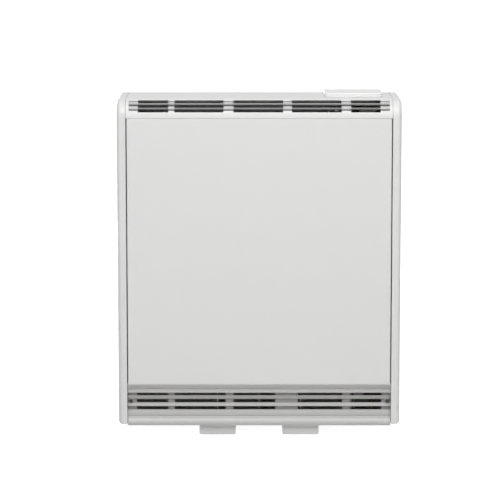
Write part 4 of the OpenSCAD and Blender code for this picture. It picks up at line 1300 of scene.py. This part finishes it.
@dataclass
class Fasteners:
    """The pan-head screws of the grille, the side panels and the feet."""

    head_r: float = 4 * MM  # radius of a head
    head_h: float = 2.2 * MM  # height of a head
    shank_r: float = 2 * MM  # radius of a shank
    crown: float = 1.1 * MM  # radius round the top of a head
    # Half length, half width and depth of the cross recess.
    recess: Triple = (2.3 * MM, 0.55 * MM, 1.3 * MM)
    row_foot: float = 90 * MM  # height of the lowest casing screw
    row_top: float = 68 * MM  # distance of the highest casing screw below the flat top
    foot_across: float = 30 * MM  # distance of a foot's screws from its middle
    foot_along: Pair = (28 * MM, 102 * MM)  # distances of a foot's screws from its front

    def screw(self, length: float) -> Piece:
        """A screw at the origin, its head up, with a cross recess.

        Args:
            length: length of the shank.

        Returns:
            The screw.
        """
        head = add_rod("head", (0, 0, 0), (0, 0, self.head_h), self.head_r, 32)
        with Editing(head) as editing:
            editing.round_edges(lambda edge: lies_at(edge, 2, self.head_h), self.crown, 4)
        reach, blade, depth = self.recess
        for x, y in ((reach, blade), (blade, reach)):
            cut(head, [add_box("recess", (-x, -y, self.head_h - depth),
                               (x, y, self.head_h + OVER))])
        soften(head, 0.12 * MM, 1)
        shank = add_rod("shank", (0, 0, -length), (0, 0, 0), self.shank_r, 20)
        return join("screw", [head, shank])

    def placed(
        self, length: float, turn: Triple, spots: Iterable[Point]
    ) -> list[Piece]:
        """Copies of one screw at several spots.

        Args:
            length: length of the shank.
            turn: how the screw is turned from head up, as angles in degrees.
            spots: where the seats of the heads are.

        Returns:
            The screws, settled.
        """
        model = self.screw(length)
        made = []
        for spot in spots:
            copy = own_copy(model, "screw")
            copy.rotation_euler = [math.radians(a) for a in turn]
            copy.location = spot
            made.append(settle(copy))
        bpy.data.objects.remove(model)
        return made

    def build(self, cabinet: Cabinet, grilles: Grilles, feet: Feet) -> None:
        """Makes and dresses all the screws.

        Args:
            cabinet: the casing.
            grilles: the grilles.
            feet: the feet.
        """
        face, z = grilles.inlet_face, grilles.screw_z
        x = cabinet.fill - grilles.screw_inset
        screws = self.placed(7 * MM, (90, 0, 0), [(-x, face, z), (x, face, z)])
        heights = (self.row_foot, cabinet.height / 2, cabinet.height - self.row_top)
        y = cabinet.back_sheet + cabinet.sheet + cabinet.wall_gap / 2
        inside = cabinet.fill - cabinet.sheet
        for side in (1, -1):
            spots = [(side * inside, y, height) for height in heights]
            screws += self.placed(5 * MM, (0, -90 * side, 0), spots)
        seat = cabinet.base + cabinet.sheet
        spots = [(side * feet.pitch / 2 + across * self.foot_across, feet.front + along, seat)
                 for side in (-1, 1) for across in (-1, 1) for along in self.foot_along]
        screws += self.placed(8 * MM, (0, 0, 0), spots)
        screws = join("casing_screws", screws)
        finish_piece(screws, Coat.DARK_SCREW, ["panel_screws"])


# ---------- the controls ----------


@dataclass
class Controls:
    """The hinged cover, the tray under it, the dial plate and the two knobs."""

    x0: float = 136 * MM  # left edge of the cover
    x1: float = 256 * MM  # right edge of the cover
    y0: float = -26 * MM  # front edge of the cover
    y1: float = 66 * MM  # back edge of the cover
    foot: float = 708.3 * MM  # Z of the cover's lower edge
    top: float = 716.3 * MM  # Z of the cover's top
    flat_top: float = 708 * MM  # Z of the flat top that the cover lies on
    wall: float = 2 * MM  # thickness of the mouldings
    corner: float = 8 * MM  # radius of the cover's front corners
    top_edge: float = 2.6 * MM  # radius along the cover's top
    hinge_r: float = 4 * MM  # radius of the hinge barrel
    bore_r: float = 1.58 * MM  # radius of the barrel's bore
    bore_end: float = 4 * MM  # wall that closes each end of the bore
    tray_inset: float = 6 * MM  # distance of the tray from the cover's edges
    tray_depth: float = 19.5 * MM  # depth of the tray below the flat top
    tray_gap: float = 0.2 * MM  # gap round the tray in the flat top
    rim: Pair = (1 * MM, 2 * MM)  # height and width of the tray's rim
    lug_width: float = 4 * MM  # width of a hinge lug
    lug_inset: float = 14 * MM  # distance of the lugs from the cover's sides
    lug_room: float = 0.6 * MM  # gap between a lug and the cover
    lug_hole: float = 1.52 * MM  # radius of the lugs' holes
    dial_drop: float = 16 * MM  # distance of the dial plate's face below the flat top
    dial_sheet: float = 1.5 * MM  # thickness of the dial plate
    dial_inset: float = 2.2 * MM  # distance of the dial plate from the tray's outside
    # Radii of the spindles' holes in knob, tray and dial plate.
    spindle_holes: Triple = (3.02 * MM, 3.08 * MM, 3.5 * MM)
    knob_r: float = 19 * MM  # radius of a knob's skirt
    knob_h: float = 11.5 * MM  # height of a knob
    knob_pitch: float = 58 * MM  # distance between the knobs
    knob_turn: float = 270  # how far a knob turns, in degrees
    knob_gap: float = 0.6 * MM  # gap under a knob
    knob_bore: float = 9.2 * MM  # depth of a knob's bore
    skirt_h: float = 3 * MM  # height of a knob's skirt
    grip_inset: float = 4 * MM  # how much the fluted grip is smaller and lower than the knob
    flutes: int = 24  # number of flutes round the grip
    flute_r: float = 1.1 * MM  # radius of a flute
    flute_out: float = 0.5 * MM  # distance of a flute's middle from the grip's face
    bar_half: float = 3.2 * MM  # half the width of the bar across a knob
    pointer_half: float = 0.6 * MM  # half the width of the pointer
    # Distances of the pointer's ends: from the knob's edge, and from its axis.
    pointer_ends: Pair = (2.5 * MM, 5 * MM)
    # How deep the pointer reaches into the bar, and how far it stands out.
    pointer_z: Pair = (0.3 * MM, 0.05 * MM)
    # Length, width and thickness of a tick.
    tick_size: Triple = (1.6 * MM, 0.4 * MM, 0.1 * MM)
    tick_gap: float = 1.2 * MM  # distance of the ticks from the knob
    number_gap: float = 4.2 * MM  # distance of the numbers' middles from the knob
    number_size: float = 4.2 * MM  # size of the numbers
    print_h: float = 0.05 * MM  # thickness of the numbers
    scale_steps: int = 6  # number of steps on each scale

    @property
    def hinge(self) -> Pair:
        """Y and Z of the hinge axis."""
        return self.y1 - self.hinge_r, self.foot + self.hinge_r

    @property
    def tray(self) -> Bounds:
        """The tray from outside.

        Returns:
            Its x0, x1, y0 and y1.
        """
        rear = self.hinge[0] - 2 * self.hinge_r
        return (self.x0 + self.tray_inset, self.x1 - self.tray_inset,
                self.y0 + self.tray_inset, rear)

    @property
    def tray_hole(self) -> Bounds:
        """The hole in the flat top.

        Returns:
            Its x0, x1, y0 and y1.
        """
        x0, x1, y0, y1 = self.tray
        gap = self.tray_gap
        return x0 - gap, x1 + gap, y0 - gap, y1 + gap

    @property
    def lugs(self) -> Pair:
        """X where each hinge lug starts."""
        return self.x0 + self.lug_inset, self.x1 - self.lug_inset - self.lug_width

    @property
    def knob_spots(self) -> tuple[Pair, Pair]:
        """Where the knobs turn.

        Returns:
            X and Y of the output knob's axis, then of the input knob's.
        """
        middle = (self.x0 + self.x1) / 2
        y = (self.tray[2] + self.tray[3]) / 2
        return (middle - self.knob_pitch / 2, y), (middle + self.knob_pitch / 2, y)

    @property
    def dial_top(self) -> float:
        """Z of the dial plate's face."""
        return self.flat_top - self.dial_drop

    @property
    def knob_foot(self) -> float:
        """Z of the knobs' underside."""
        return self.dial_top + self.knob_gap

    def cover(self) -> Piece:
        """The cover: round front corners, a soft top edge and a round hinge barrel at the back.

        Returns:
            The piece, without a finish.
        """
        hinge_y, hinge_z = self.hinge
        r = self.corner
        outline = [(self.x1, hinge_y), (self.x0, hinge_y)]
        outline += arc((self.x0 + r, self.y0 + r), r, 180, 270, 8)
        outline += arc((self.x1 - r, self.y0 + r), r, 270, 360, 8)
        lid = sweep_outline("lid", [(x, y, self.foot) for x, y in outline],
                            (0, 0, self.top - self.foot))
        with Editing(lid) as editing:
            editing.round_edges(
                lambda edge: lies_at(edge, 2, self.top) and not lies_at(edge, 1, hinge_y),
                self.top_edge, 6,
            )
            editing.hollow(self.wall, (0, 0, self.top - self.foot - self.wall))
        barrel, bore = [
            add_rod(name, (self.x0 + end, hinge_y, hinge_z), (self.x1 - end, hinge_y, hinge_z),
                    radius, sides)
            for name, end, radius, sides in (
                ("barrel", 0, self.hinge_r, 48), ("bore", self.bore_end, self.bore_r, 24))
        ]
        combine(lid, [barrel], "UNION")
        room_back = hinge_y - self.hinge_r - 2 * MM
        gaps = [add_box("gap", (x - self.lug_room, room_back, self.foot - OVER),
                        (x + self.lug_width + self.lug_room, self.y1 + OVER, self.top + OVER))
                for x in self.lugs]
        cut(lid, gaps)
        cut(lid, [bore])
        return soften(lid, 0.35 * MM)

    def tray_piece(self) -> Piece:
        """The tray with its rim and the two hinge lugs.

        Returns:
            The piece, without a finish.
        """
        x0, x1, y0, y1 = self.tray
        rim, lip = self.rim
        wall, top = self.wall, self.flat_top + rim
        foot = self.flat_top - self.tray_depth
        floor = foot + wall
        body = add_box("tray", (x0, y0, foot), (x1, y1, top))
        plate = add_box("rim", (x0 - lip, y0 - lip, self.flat_top), (x1 + lip, y1 + lip, top))
        combine(body, [plate], "UNION")
        cut(body, [add_box("room", (x0 + wall, y0 + wall, floor),
                           (x1 - wall, y1 - wall, top + OVER))])
        cut(body, self.spindle_tools(foot - OVER, floor + OVER, self.spindle_holes[1]))
        soften(body, 0.4 * MM)
        return join("control_well", [body, *[self.lug(x) for x in self.lugs]])

    def spindle_tools(self, low: float, high: float, radius: float) -> list[Piece]:
        """Tools for the holes that the two spindles pass through.

        Args:
            low: Z where the holes start.
            high: Z where they end.
            radius: their radius.

        Returns:
            The two tools.
        """
        return [add_rod("hole", (x, y, low), (x, y, high), radius, 24) for x, y in self.knob_spots]

    def lug(self, x: float) -> Piece:
        """One hinge lug.

        Args:
            x: where it starts.

        Returns:
            The lug, with its hole for the pin.
        """
        hinge_y, hinge_z = self.hinge
        radius = self.hinge_r - MM
        rear = self.tray[3]
        outline = [(rear + MM, self.flat_top), (hinge_y + radius, self.flat_top)]
        outline += arc((hinge_y, hinge_z), radius, 0, 180, 12)
        outline += [(hinge_y - radius, self.flat_top + MM), (rear + MM, self.flat_top + MM)]
        lug = along_x("lug", outline, x, x + self.lug_width)
        pin = add_rod("hole", (x - OVER, hinge_y, hinge_z),
                      (x + self.lug_width + OVER, hinge_y, hinge_z), self.lug_hole, 24)
        cut(lug, [pin])
        return soften(lug, 0.2 * MM)

    def knob(self, name: str, spot: Pair) -> Piece:
        """A knob: skirt, fluted grip and a bar across it.

        Args:
            name: name of the piece.
            spot: x and y of its axis.

        Returns:
            The piece, without a finish.
        """
        x, y = spot
        foot, top = self.knob_foot, self.knob_foot + self.knob_h
        grip_r = self.knob_r - self.grip_inset
        skirt = add_rod("skirt", (x, y, foot), (x, y, foot + self.skirt_h), self.knob_r, 72)
        grip = add_rod("grip", (x, y, foot + MM), (x, y, top - self.grip_inset), grip_r, 72)
        combine(skirt, [grip], "UNION")
        flutes = []
        for i in range(self.flutes):
            turn = 2 * math.pi * (i + 0.5) / self.flutes
            reach = grip_r + self.flute_out
            at = (x + reach * math.cos(turn), y + reach * math.sin(turn))
            flutes.append(
                add_rod("flute", (*at, foot + self.skirt_h), (*at, top), self.flute_r, 12)
            )
        cut(skirt, flutes)
        half, reach = self.bar_half, self.knob_r - MM
        bar_outline = arc((x, y - reach + half), half, 180, 360, 8)
        bar_outline += arc((x, y + reach - half), half, 0, 180, 8)
        bar = sweep_outline("bar", [(bx, by, foot + MM) for bx, by in bar_outline],
                            (0, 0, self.knob_h - MM))
        combine(skirt, [bar], "UNION")
        cut(skirt, [add_rod("bore", (x, y, foot - OVER), (x, y, foot + self.knob_bore),
                            self.spindle_holes[0], 24)])
        skirt.name = name
        return soften(skirt, 0.5 * MM, 3)

    def pointer(self, name: str, spot: Pair) -> Piece:
        """The dark line inlaid in a knob's bar, at the end that points to the front at rest.

        Args:
            name: name of the piece.
            spot: x and y of the knob's axis.

        Returns:
            The piece, without a finish.
        """
        x, y = spot
        top = self.knob_foot + self.knob_h
        half, (start, end), (deep, proud) = self.pointer_half, self.pointer_ends, self.pointer_z
        line = add_box(name, (x - half, y - self.knob_r + start, top - deep),
                       (x + half, y - end, top + proud))
        return soften(line, 0.03 * MM, 1)

    def dial(self) -> Piece:
        """The dial plate with a hole for each spindle.

        Returns:
            The piece, without a finish.
        """
        x0, x1, y0, y1 = self.tray
        inset, top = self.dial_inset, self.dial_top
        plate = add_box("dial", (x0 + inset, y0 + inset, top - self.dial_sheet),
                        (x1 - inset, y1 - inset, top))
        cut(plate, self.spindle_tools(top - 2 * OVER, top + OVER, self.spindle_holes[2]))
        return soften(plate, 0.2 * MM)

    def scale_marks(self) -> Piece:
        """The printed scale: a tick for each step round the knobs, and plain numbers.

        Returns:
            The piece, without a finish.
        """
        marks = []
        for x, y in self.knob_spots:
            for i in range(self.scale_steps):
                turn = math.radians(-90 - self.knob_turn * i / (self.scale_steps - 1))
                for gap, mark in (
                    (self.tick_gap + self.tick_size[0] / 2, self.tick(turn)),
                    (self.number_gap, self.number(str(i + 1))),
                ):
                    reach = self.knob_r + gap
                    mark.location = (
                        x + reach * math.cos(turn), y + reach * math.sin(turn), self.dial_top
                    )
                    marks.append(settle(mark))
        return join("dial_print", marks)

    def tick(self, turn: float) -> Piece:
        """One short tick at the origin.

        Args:
            turn: its direction, in radians.

        Returns:
            The tick.
        """
        bpy.ops.object.select_all(action="DESELECT")
        bpy.ops.mesh.primitive_cube_add(size=1)
        tick = bpy.context.active_object
        tick.scale = self.tick_size
        tick.rotation_euler = (0, 0, turn)
        return tick

    def number(self, text: str) -> Piece:
        """One upright number of the scale at the origin.

        Args:
            text: the number.

        Returns:
            The number as a mesh.
        """
        bpy.ops.object.select_all(action="DESELECT")
        bpy.ops.object.text_add()
        made = bpy.context.active_object
        made.data.body = text
        made.data.align_x = "CENTER"
        made.data.align_y = "CENTER"
        made.data.size = self.number_size
        made.data.extrude = self.print_h
        bpy.ops.object.convert(target="MESH")
        return bpy.context.active_object

    def build(self) -> None:
        """Makes and dresses the controls."""
        finish_piece(self.cover(), Coat.MOULDING, ["control_cover"],
                     "control_cover")
        finish_piece(self.tray_piece(), Coat.MOULDING, ["control_tray"])
        finish_piece(self.dial(), Coat.DIAL, ["dial_plate"])
        finish_piece(self.scale_marks(), Coat.PRINT)
        for name, spot in zip(("output", "input"), self.knob_spots):
            body = f"{name}_control"
            knob = self.knob(f"{name}_dial", spot)
            finish_piece(knob, Coat.KNOB, [f"{name}_knob"], body)
            pointer = self.pointer(f"{name}_pointer", spot)
            finish_piece(pointer, Coat.PRINT, body=body)


# ---------- the works inside ----------


@dataclass
class Wiring:
    """Where the cable comes in."""

    gland_x: float = 243 * MM  # X of the cable entry
    gland_z: float = 89.5 * MM  # Z of the cable entry
    gland_r: float = 9 * MM  # radius of its hole in the back panel
    notch: float = 12 * MM  # width of the cord's notch in the back panel's bottom flange
    cord_r: float = 5 * MM  # radius of the grommet's bore
    collar: float = 3 * MM  # how far the grommet's collars reach past the hole
    squeeze: float = 0.2 * MM  # how much the grommet's neck is smaller than the hole
    # Where inner collar, neck and outer collar start and end, behind the back sheet's inner face.
    rings: tuple[Pair, ...] = (
        (-2 * MM, -0.1 * MM), (-1 * MM, 2.5 * MM), (1.6 * MM, 3.5 * MM),
    )

    def grommet(self, cabinet: Cabinet) -> Piece:
        """The rubber grommet in the back panel: a ring with a collar on each side.

        Args:
            cabinet: the casing.

        Returns:
            The piece, without a finish.
        """
        x, y, z = self.gland_x, cabinet.back_sheet, self.gland_z
        collar = self.gland_r + self.collar
        radii = (collar, self.gland_r - self.squeeze, collar)
        ring, neck, outer = [
            add_rod("entry_grommet", (x, y + start, z), (x, y + end, z), radius)
            for (start, end), radius in zip(self.rings, radii)
        ]
        combine(ring, [neck], "UNION")
        combine(ring, [outer], "UNION")
        cut(ring, [add_rod("bore", (x, y - 5 * MM, z), (x, y + 6 * MM, z), self.cord_r)])
        return soften(ring, 0.5 * MM, 3)

    def build(self, cabinet: Cabinet) -> None:
        """Makes and dresses the grommet."""
        finish_piece(self.grommet(cabinet), Coat.RUBBER, ["cable_grommet"])


@dataclass
class Works:
    """The solids inside the casing, which keep their meshes and get their finishes."""

    # The finish of each group of nodes.
    finishes: dict[Coat, tuple[str, ...]] = field(default_factory=lambda: {
        Coat.INNER_STEEL: ("core_stand", "front_heat_shield", "top_heat_shield",
                           "left_inner_panel", "right_inner_panel", "damper_flap"),
        Coat.BOARD: ("base_insulation", "back_insulation", "front_insulation",
                     "left_insulation", "right_insulation", "top_insulation"),
        Coat.SHEATH: ("heating_elements",),
        Coat.CERAMIC: ("element_bushes", "terminal_block"),
        Coat.BRASS: ("element_nuts", "thermostat_bulb"),
        Coat.ZINC: ("damper_shaft", "damper_bearings", "damper_slide", "output_spindle",
                    "input_spindle", "control_bracket", "cover_hinge_pin"),
        Coat.BLACK: ("output_cam", "thermal_cutout"),
        Coat.INNER_PLASTIC: ("charge_thermostat", "cord_clamp"),
        Coat.BROWN: ("live_leads",),
        Coat.BLUE: ("neutral_leads",),
        Coat.GREEN: ("earth_lead",),
    })

    def build(self) -> None:
        """Dresses each node in its finish."""
        for coat, names in self.finishes.items():
            for name in names:
                self.dress(name, coat)
        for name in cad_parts:
            if "_brick_" in name:
                self.dress(name, Coat.BRICK)

    def dress(self, name: str, coat: Coat) -> None:
        """Gives a node a finish in each of its material slots.

        Args:
            name: the node.
            coat: the finish.
        """
        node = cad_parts[name]
        if not node.material_slots:
            node.data.materials.append(coat.value.material())
        for holder in node.material_slots:
            holder.material = coat.value.material()
        LOG.info("node %s in %s", name, coat.name)


# ---------- the studio ----------


@dataclass
class Studio:
    """Floor, backdrop, lamps and camera."""

    distance: float = 5.0  # distance of the camera from the cabinet's front
    front: float = -85 * MM  # Y of the cabinet's front
    eye_x: float = -19 * MM  # X of the camera
    eye_height: float = 1.1752  # height of the camera
    pitch: float = 7.812  # how far the camera looks down, in degrees
    focal_px: float = 2447.1  # focal length in pixels of the photograph's frame
    shift_px: float = 44.6  # pixels by which the frame's middle lies below the optical axis
    sensor: float = 36.0  # width of the sensor in mm, as Blender counts the lens
    paper_tone: float = 0.75  # tone of the paper
    near_glow: float = 0.88  # share of the paper's glow close to the object
    glow_reach: Pair = (0.4, 0.9)  # distances at which the glow starts to rise and is full
    tone_spread: float = 0.01  # how far the paper's tone wanders
    sky: float = 0.15  # strength of the sky on the object
    aim: Triple = (0, 0, 0.35)  # the point that the lamps face

    def camera(self) -> None:
        """Puts the camera where the photograph was taken from."""
        data = bpy.data.cameras.new("view")
        data.sensor_width = self.sensor
        data.lens = self.focal_px * self.sensor / PHOTO_SIDE
        data.shift_y = -self.shift_px / PHOTO_SIDE
        data.clip_end = 100
        view = bpy.data.objects.new("view", data)
        view.location = (self.eye_x, self.front - self.distance, self.eye_height)
        view.rotation_euler = (math.radians(90 - self.pitch), 0, 0)
        bpy.context.collection.objects.link(view)
        bpy.context.scene.camera = view

    def paper(self) -> bpy.types.Material:
        """White paper for floor and backdrop.

        The paper takes light and shadow as usual. Where the camera or a gloss sees it, a glow is
        added that brings it up to white.

        Returns:
            The material.
        """
        made = bpy.data.materials.new("backdrop_paper")
        made.use_nodes = True
        tree = made.node_tree
        tree.nodes.clear()
        sockets = Sockets(tree)
        place = sockets.place()
        fibre = sockets.node("ShaderNodeTexNoise", {"Vector": place, "Scale": 3})
        tone = sockets.ramp(
            fibre.outputs["Fac"], (0, 1),
            (self.paper_tone - self.tone_spread, self.paper_tone + self.tone_spread),
        )
        matt = sockets.node("ShaderNodeBsdfDiffuse", {"Color": tone})
        away = sockets.node("ShaderNodeVectorMath", {0: place}, operation="LENGTH")
        rise = sockets.ramp(away.outputs["Value"], self.glow_reach, (self.near_glow, 1))
        strength = sockets.math("MULTIPLY", self.seen(sockets), rise)
        glow = sockets.node("ShaderNodeEmission", {"Strength": strength})
        both = sockets.node("ShaderNodeAddShader", {0: matt.outputs[0], 1: glow.outputs[0]})
        sockets.node("ShaderNodeOutputMaterial", {"Surface": both.outputs[0]})
        return made

    def seen(self, sockets: Sockets) -> Output:
        """1 where the camera or a gloss looks, and 0 for light that falls on the object.

        Args:
            sockets: the sockets of the material or world.

        Returns:
            The output that gives it.
        """
        path = sockets.node("ShaderNodeLightPath").outputs
        return sockets.math("MAXIMUM", path["Is Camera Ray"], path["Is Glossy Ray"])

    def stage(self) -> None:
        """A floor, and a backdrop far behind the object."""
        half, near, far, tall, thick = 30.0, -20.0, 20.0, 20.0, 0.1
        outline = [(near, 0.0), (far, 0.0), (far, tall), (far + thick, tall),
                   (far + thick, -thick), (near, -thick)]
        floor = along_x("floor", outline, -half, half)
        floor.data.materials.append(self.paper())

    def lamp(self, name: str, place: Point, size: float, watts: float) -> None:
        """A square soft lamp.

        Args:
            name: its name.
            place: where it stands.
            size: length of its side.
            watts: its power.
        """
        data = bpy.data.lights.new(name, "AREA")
        data.size = size
        data.energy = watts
        lamp = bpy.data.objects.new(name, data)
        lamp.location = place
        way = Vector(self.aim) - Vector(place)
        lamp.rotation_euler = way.to_track_quat("-Z", "Y").to_euler()
        bpy.context.collection.objects.link(lamp)

    def light(self) -> None:
        """A large soft lamp in front and above, a weaker one behind, and an even sky."""
        self.lamp("key", (0.06, -2.3, 3.0), size=3.2, watts=120)
        self.lamp("back", (-0.8, 3.0, 0.35), size=0.6, watts=30)
        world = bpy.data.worlds.new("sky")
        world.use_nodes = True
        sockets = Sockets(world.node_tree)
        strength = sockets.ramp(self.seen(sockets), (0, 1), (self.sky, 1))
        sky = world.node_tree.nodes["Background"]
        sockets.feed(sky, {"Color": (1, 1, 1, 1), "Strength": strength})
        bpy.context.scene.world = world

    def build(self) -> None:
        """Sets the whole studio."""
        self.camera()
        self.stage()
        self.light()
        bpy.context.scene.view_settings.view_transform = "Standard"


def main() -> None:
    """Builds the heater and the studio."""
    logging.basicConfig(level=logging.INFO, format="%(name)s: %(message)s")
    studio = Studio()
    studio.build()
    cabinet = Cabinet()
    controls = Controls()
    wiring = Wiring()
    feet = Feet()
    cabinet.build(controls, wiring)
    grilles = Grilles(cabinet)
    grilles.build()
    feet.build()
    Fasteners().build(cabinet, grilles, feet)
    controls.build()
    wiring.build(cabinet)
    Works().build()


if __name__ == "__main__":
    main()
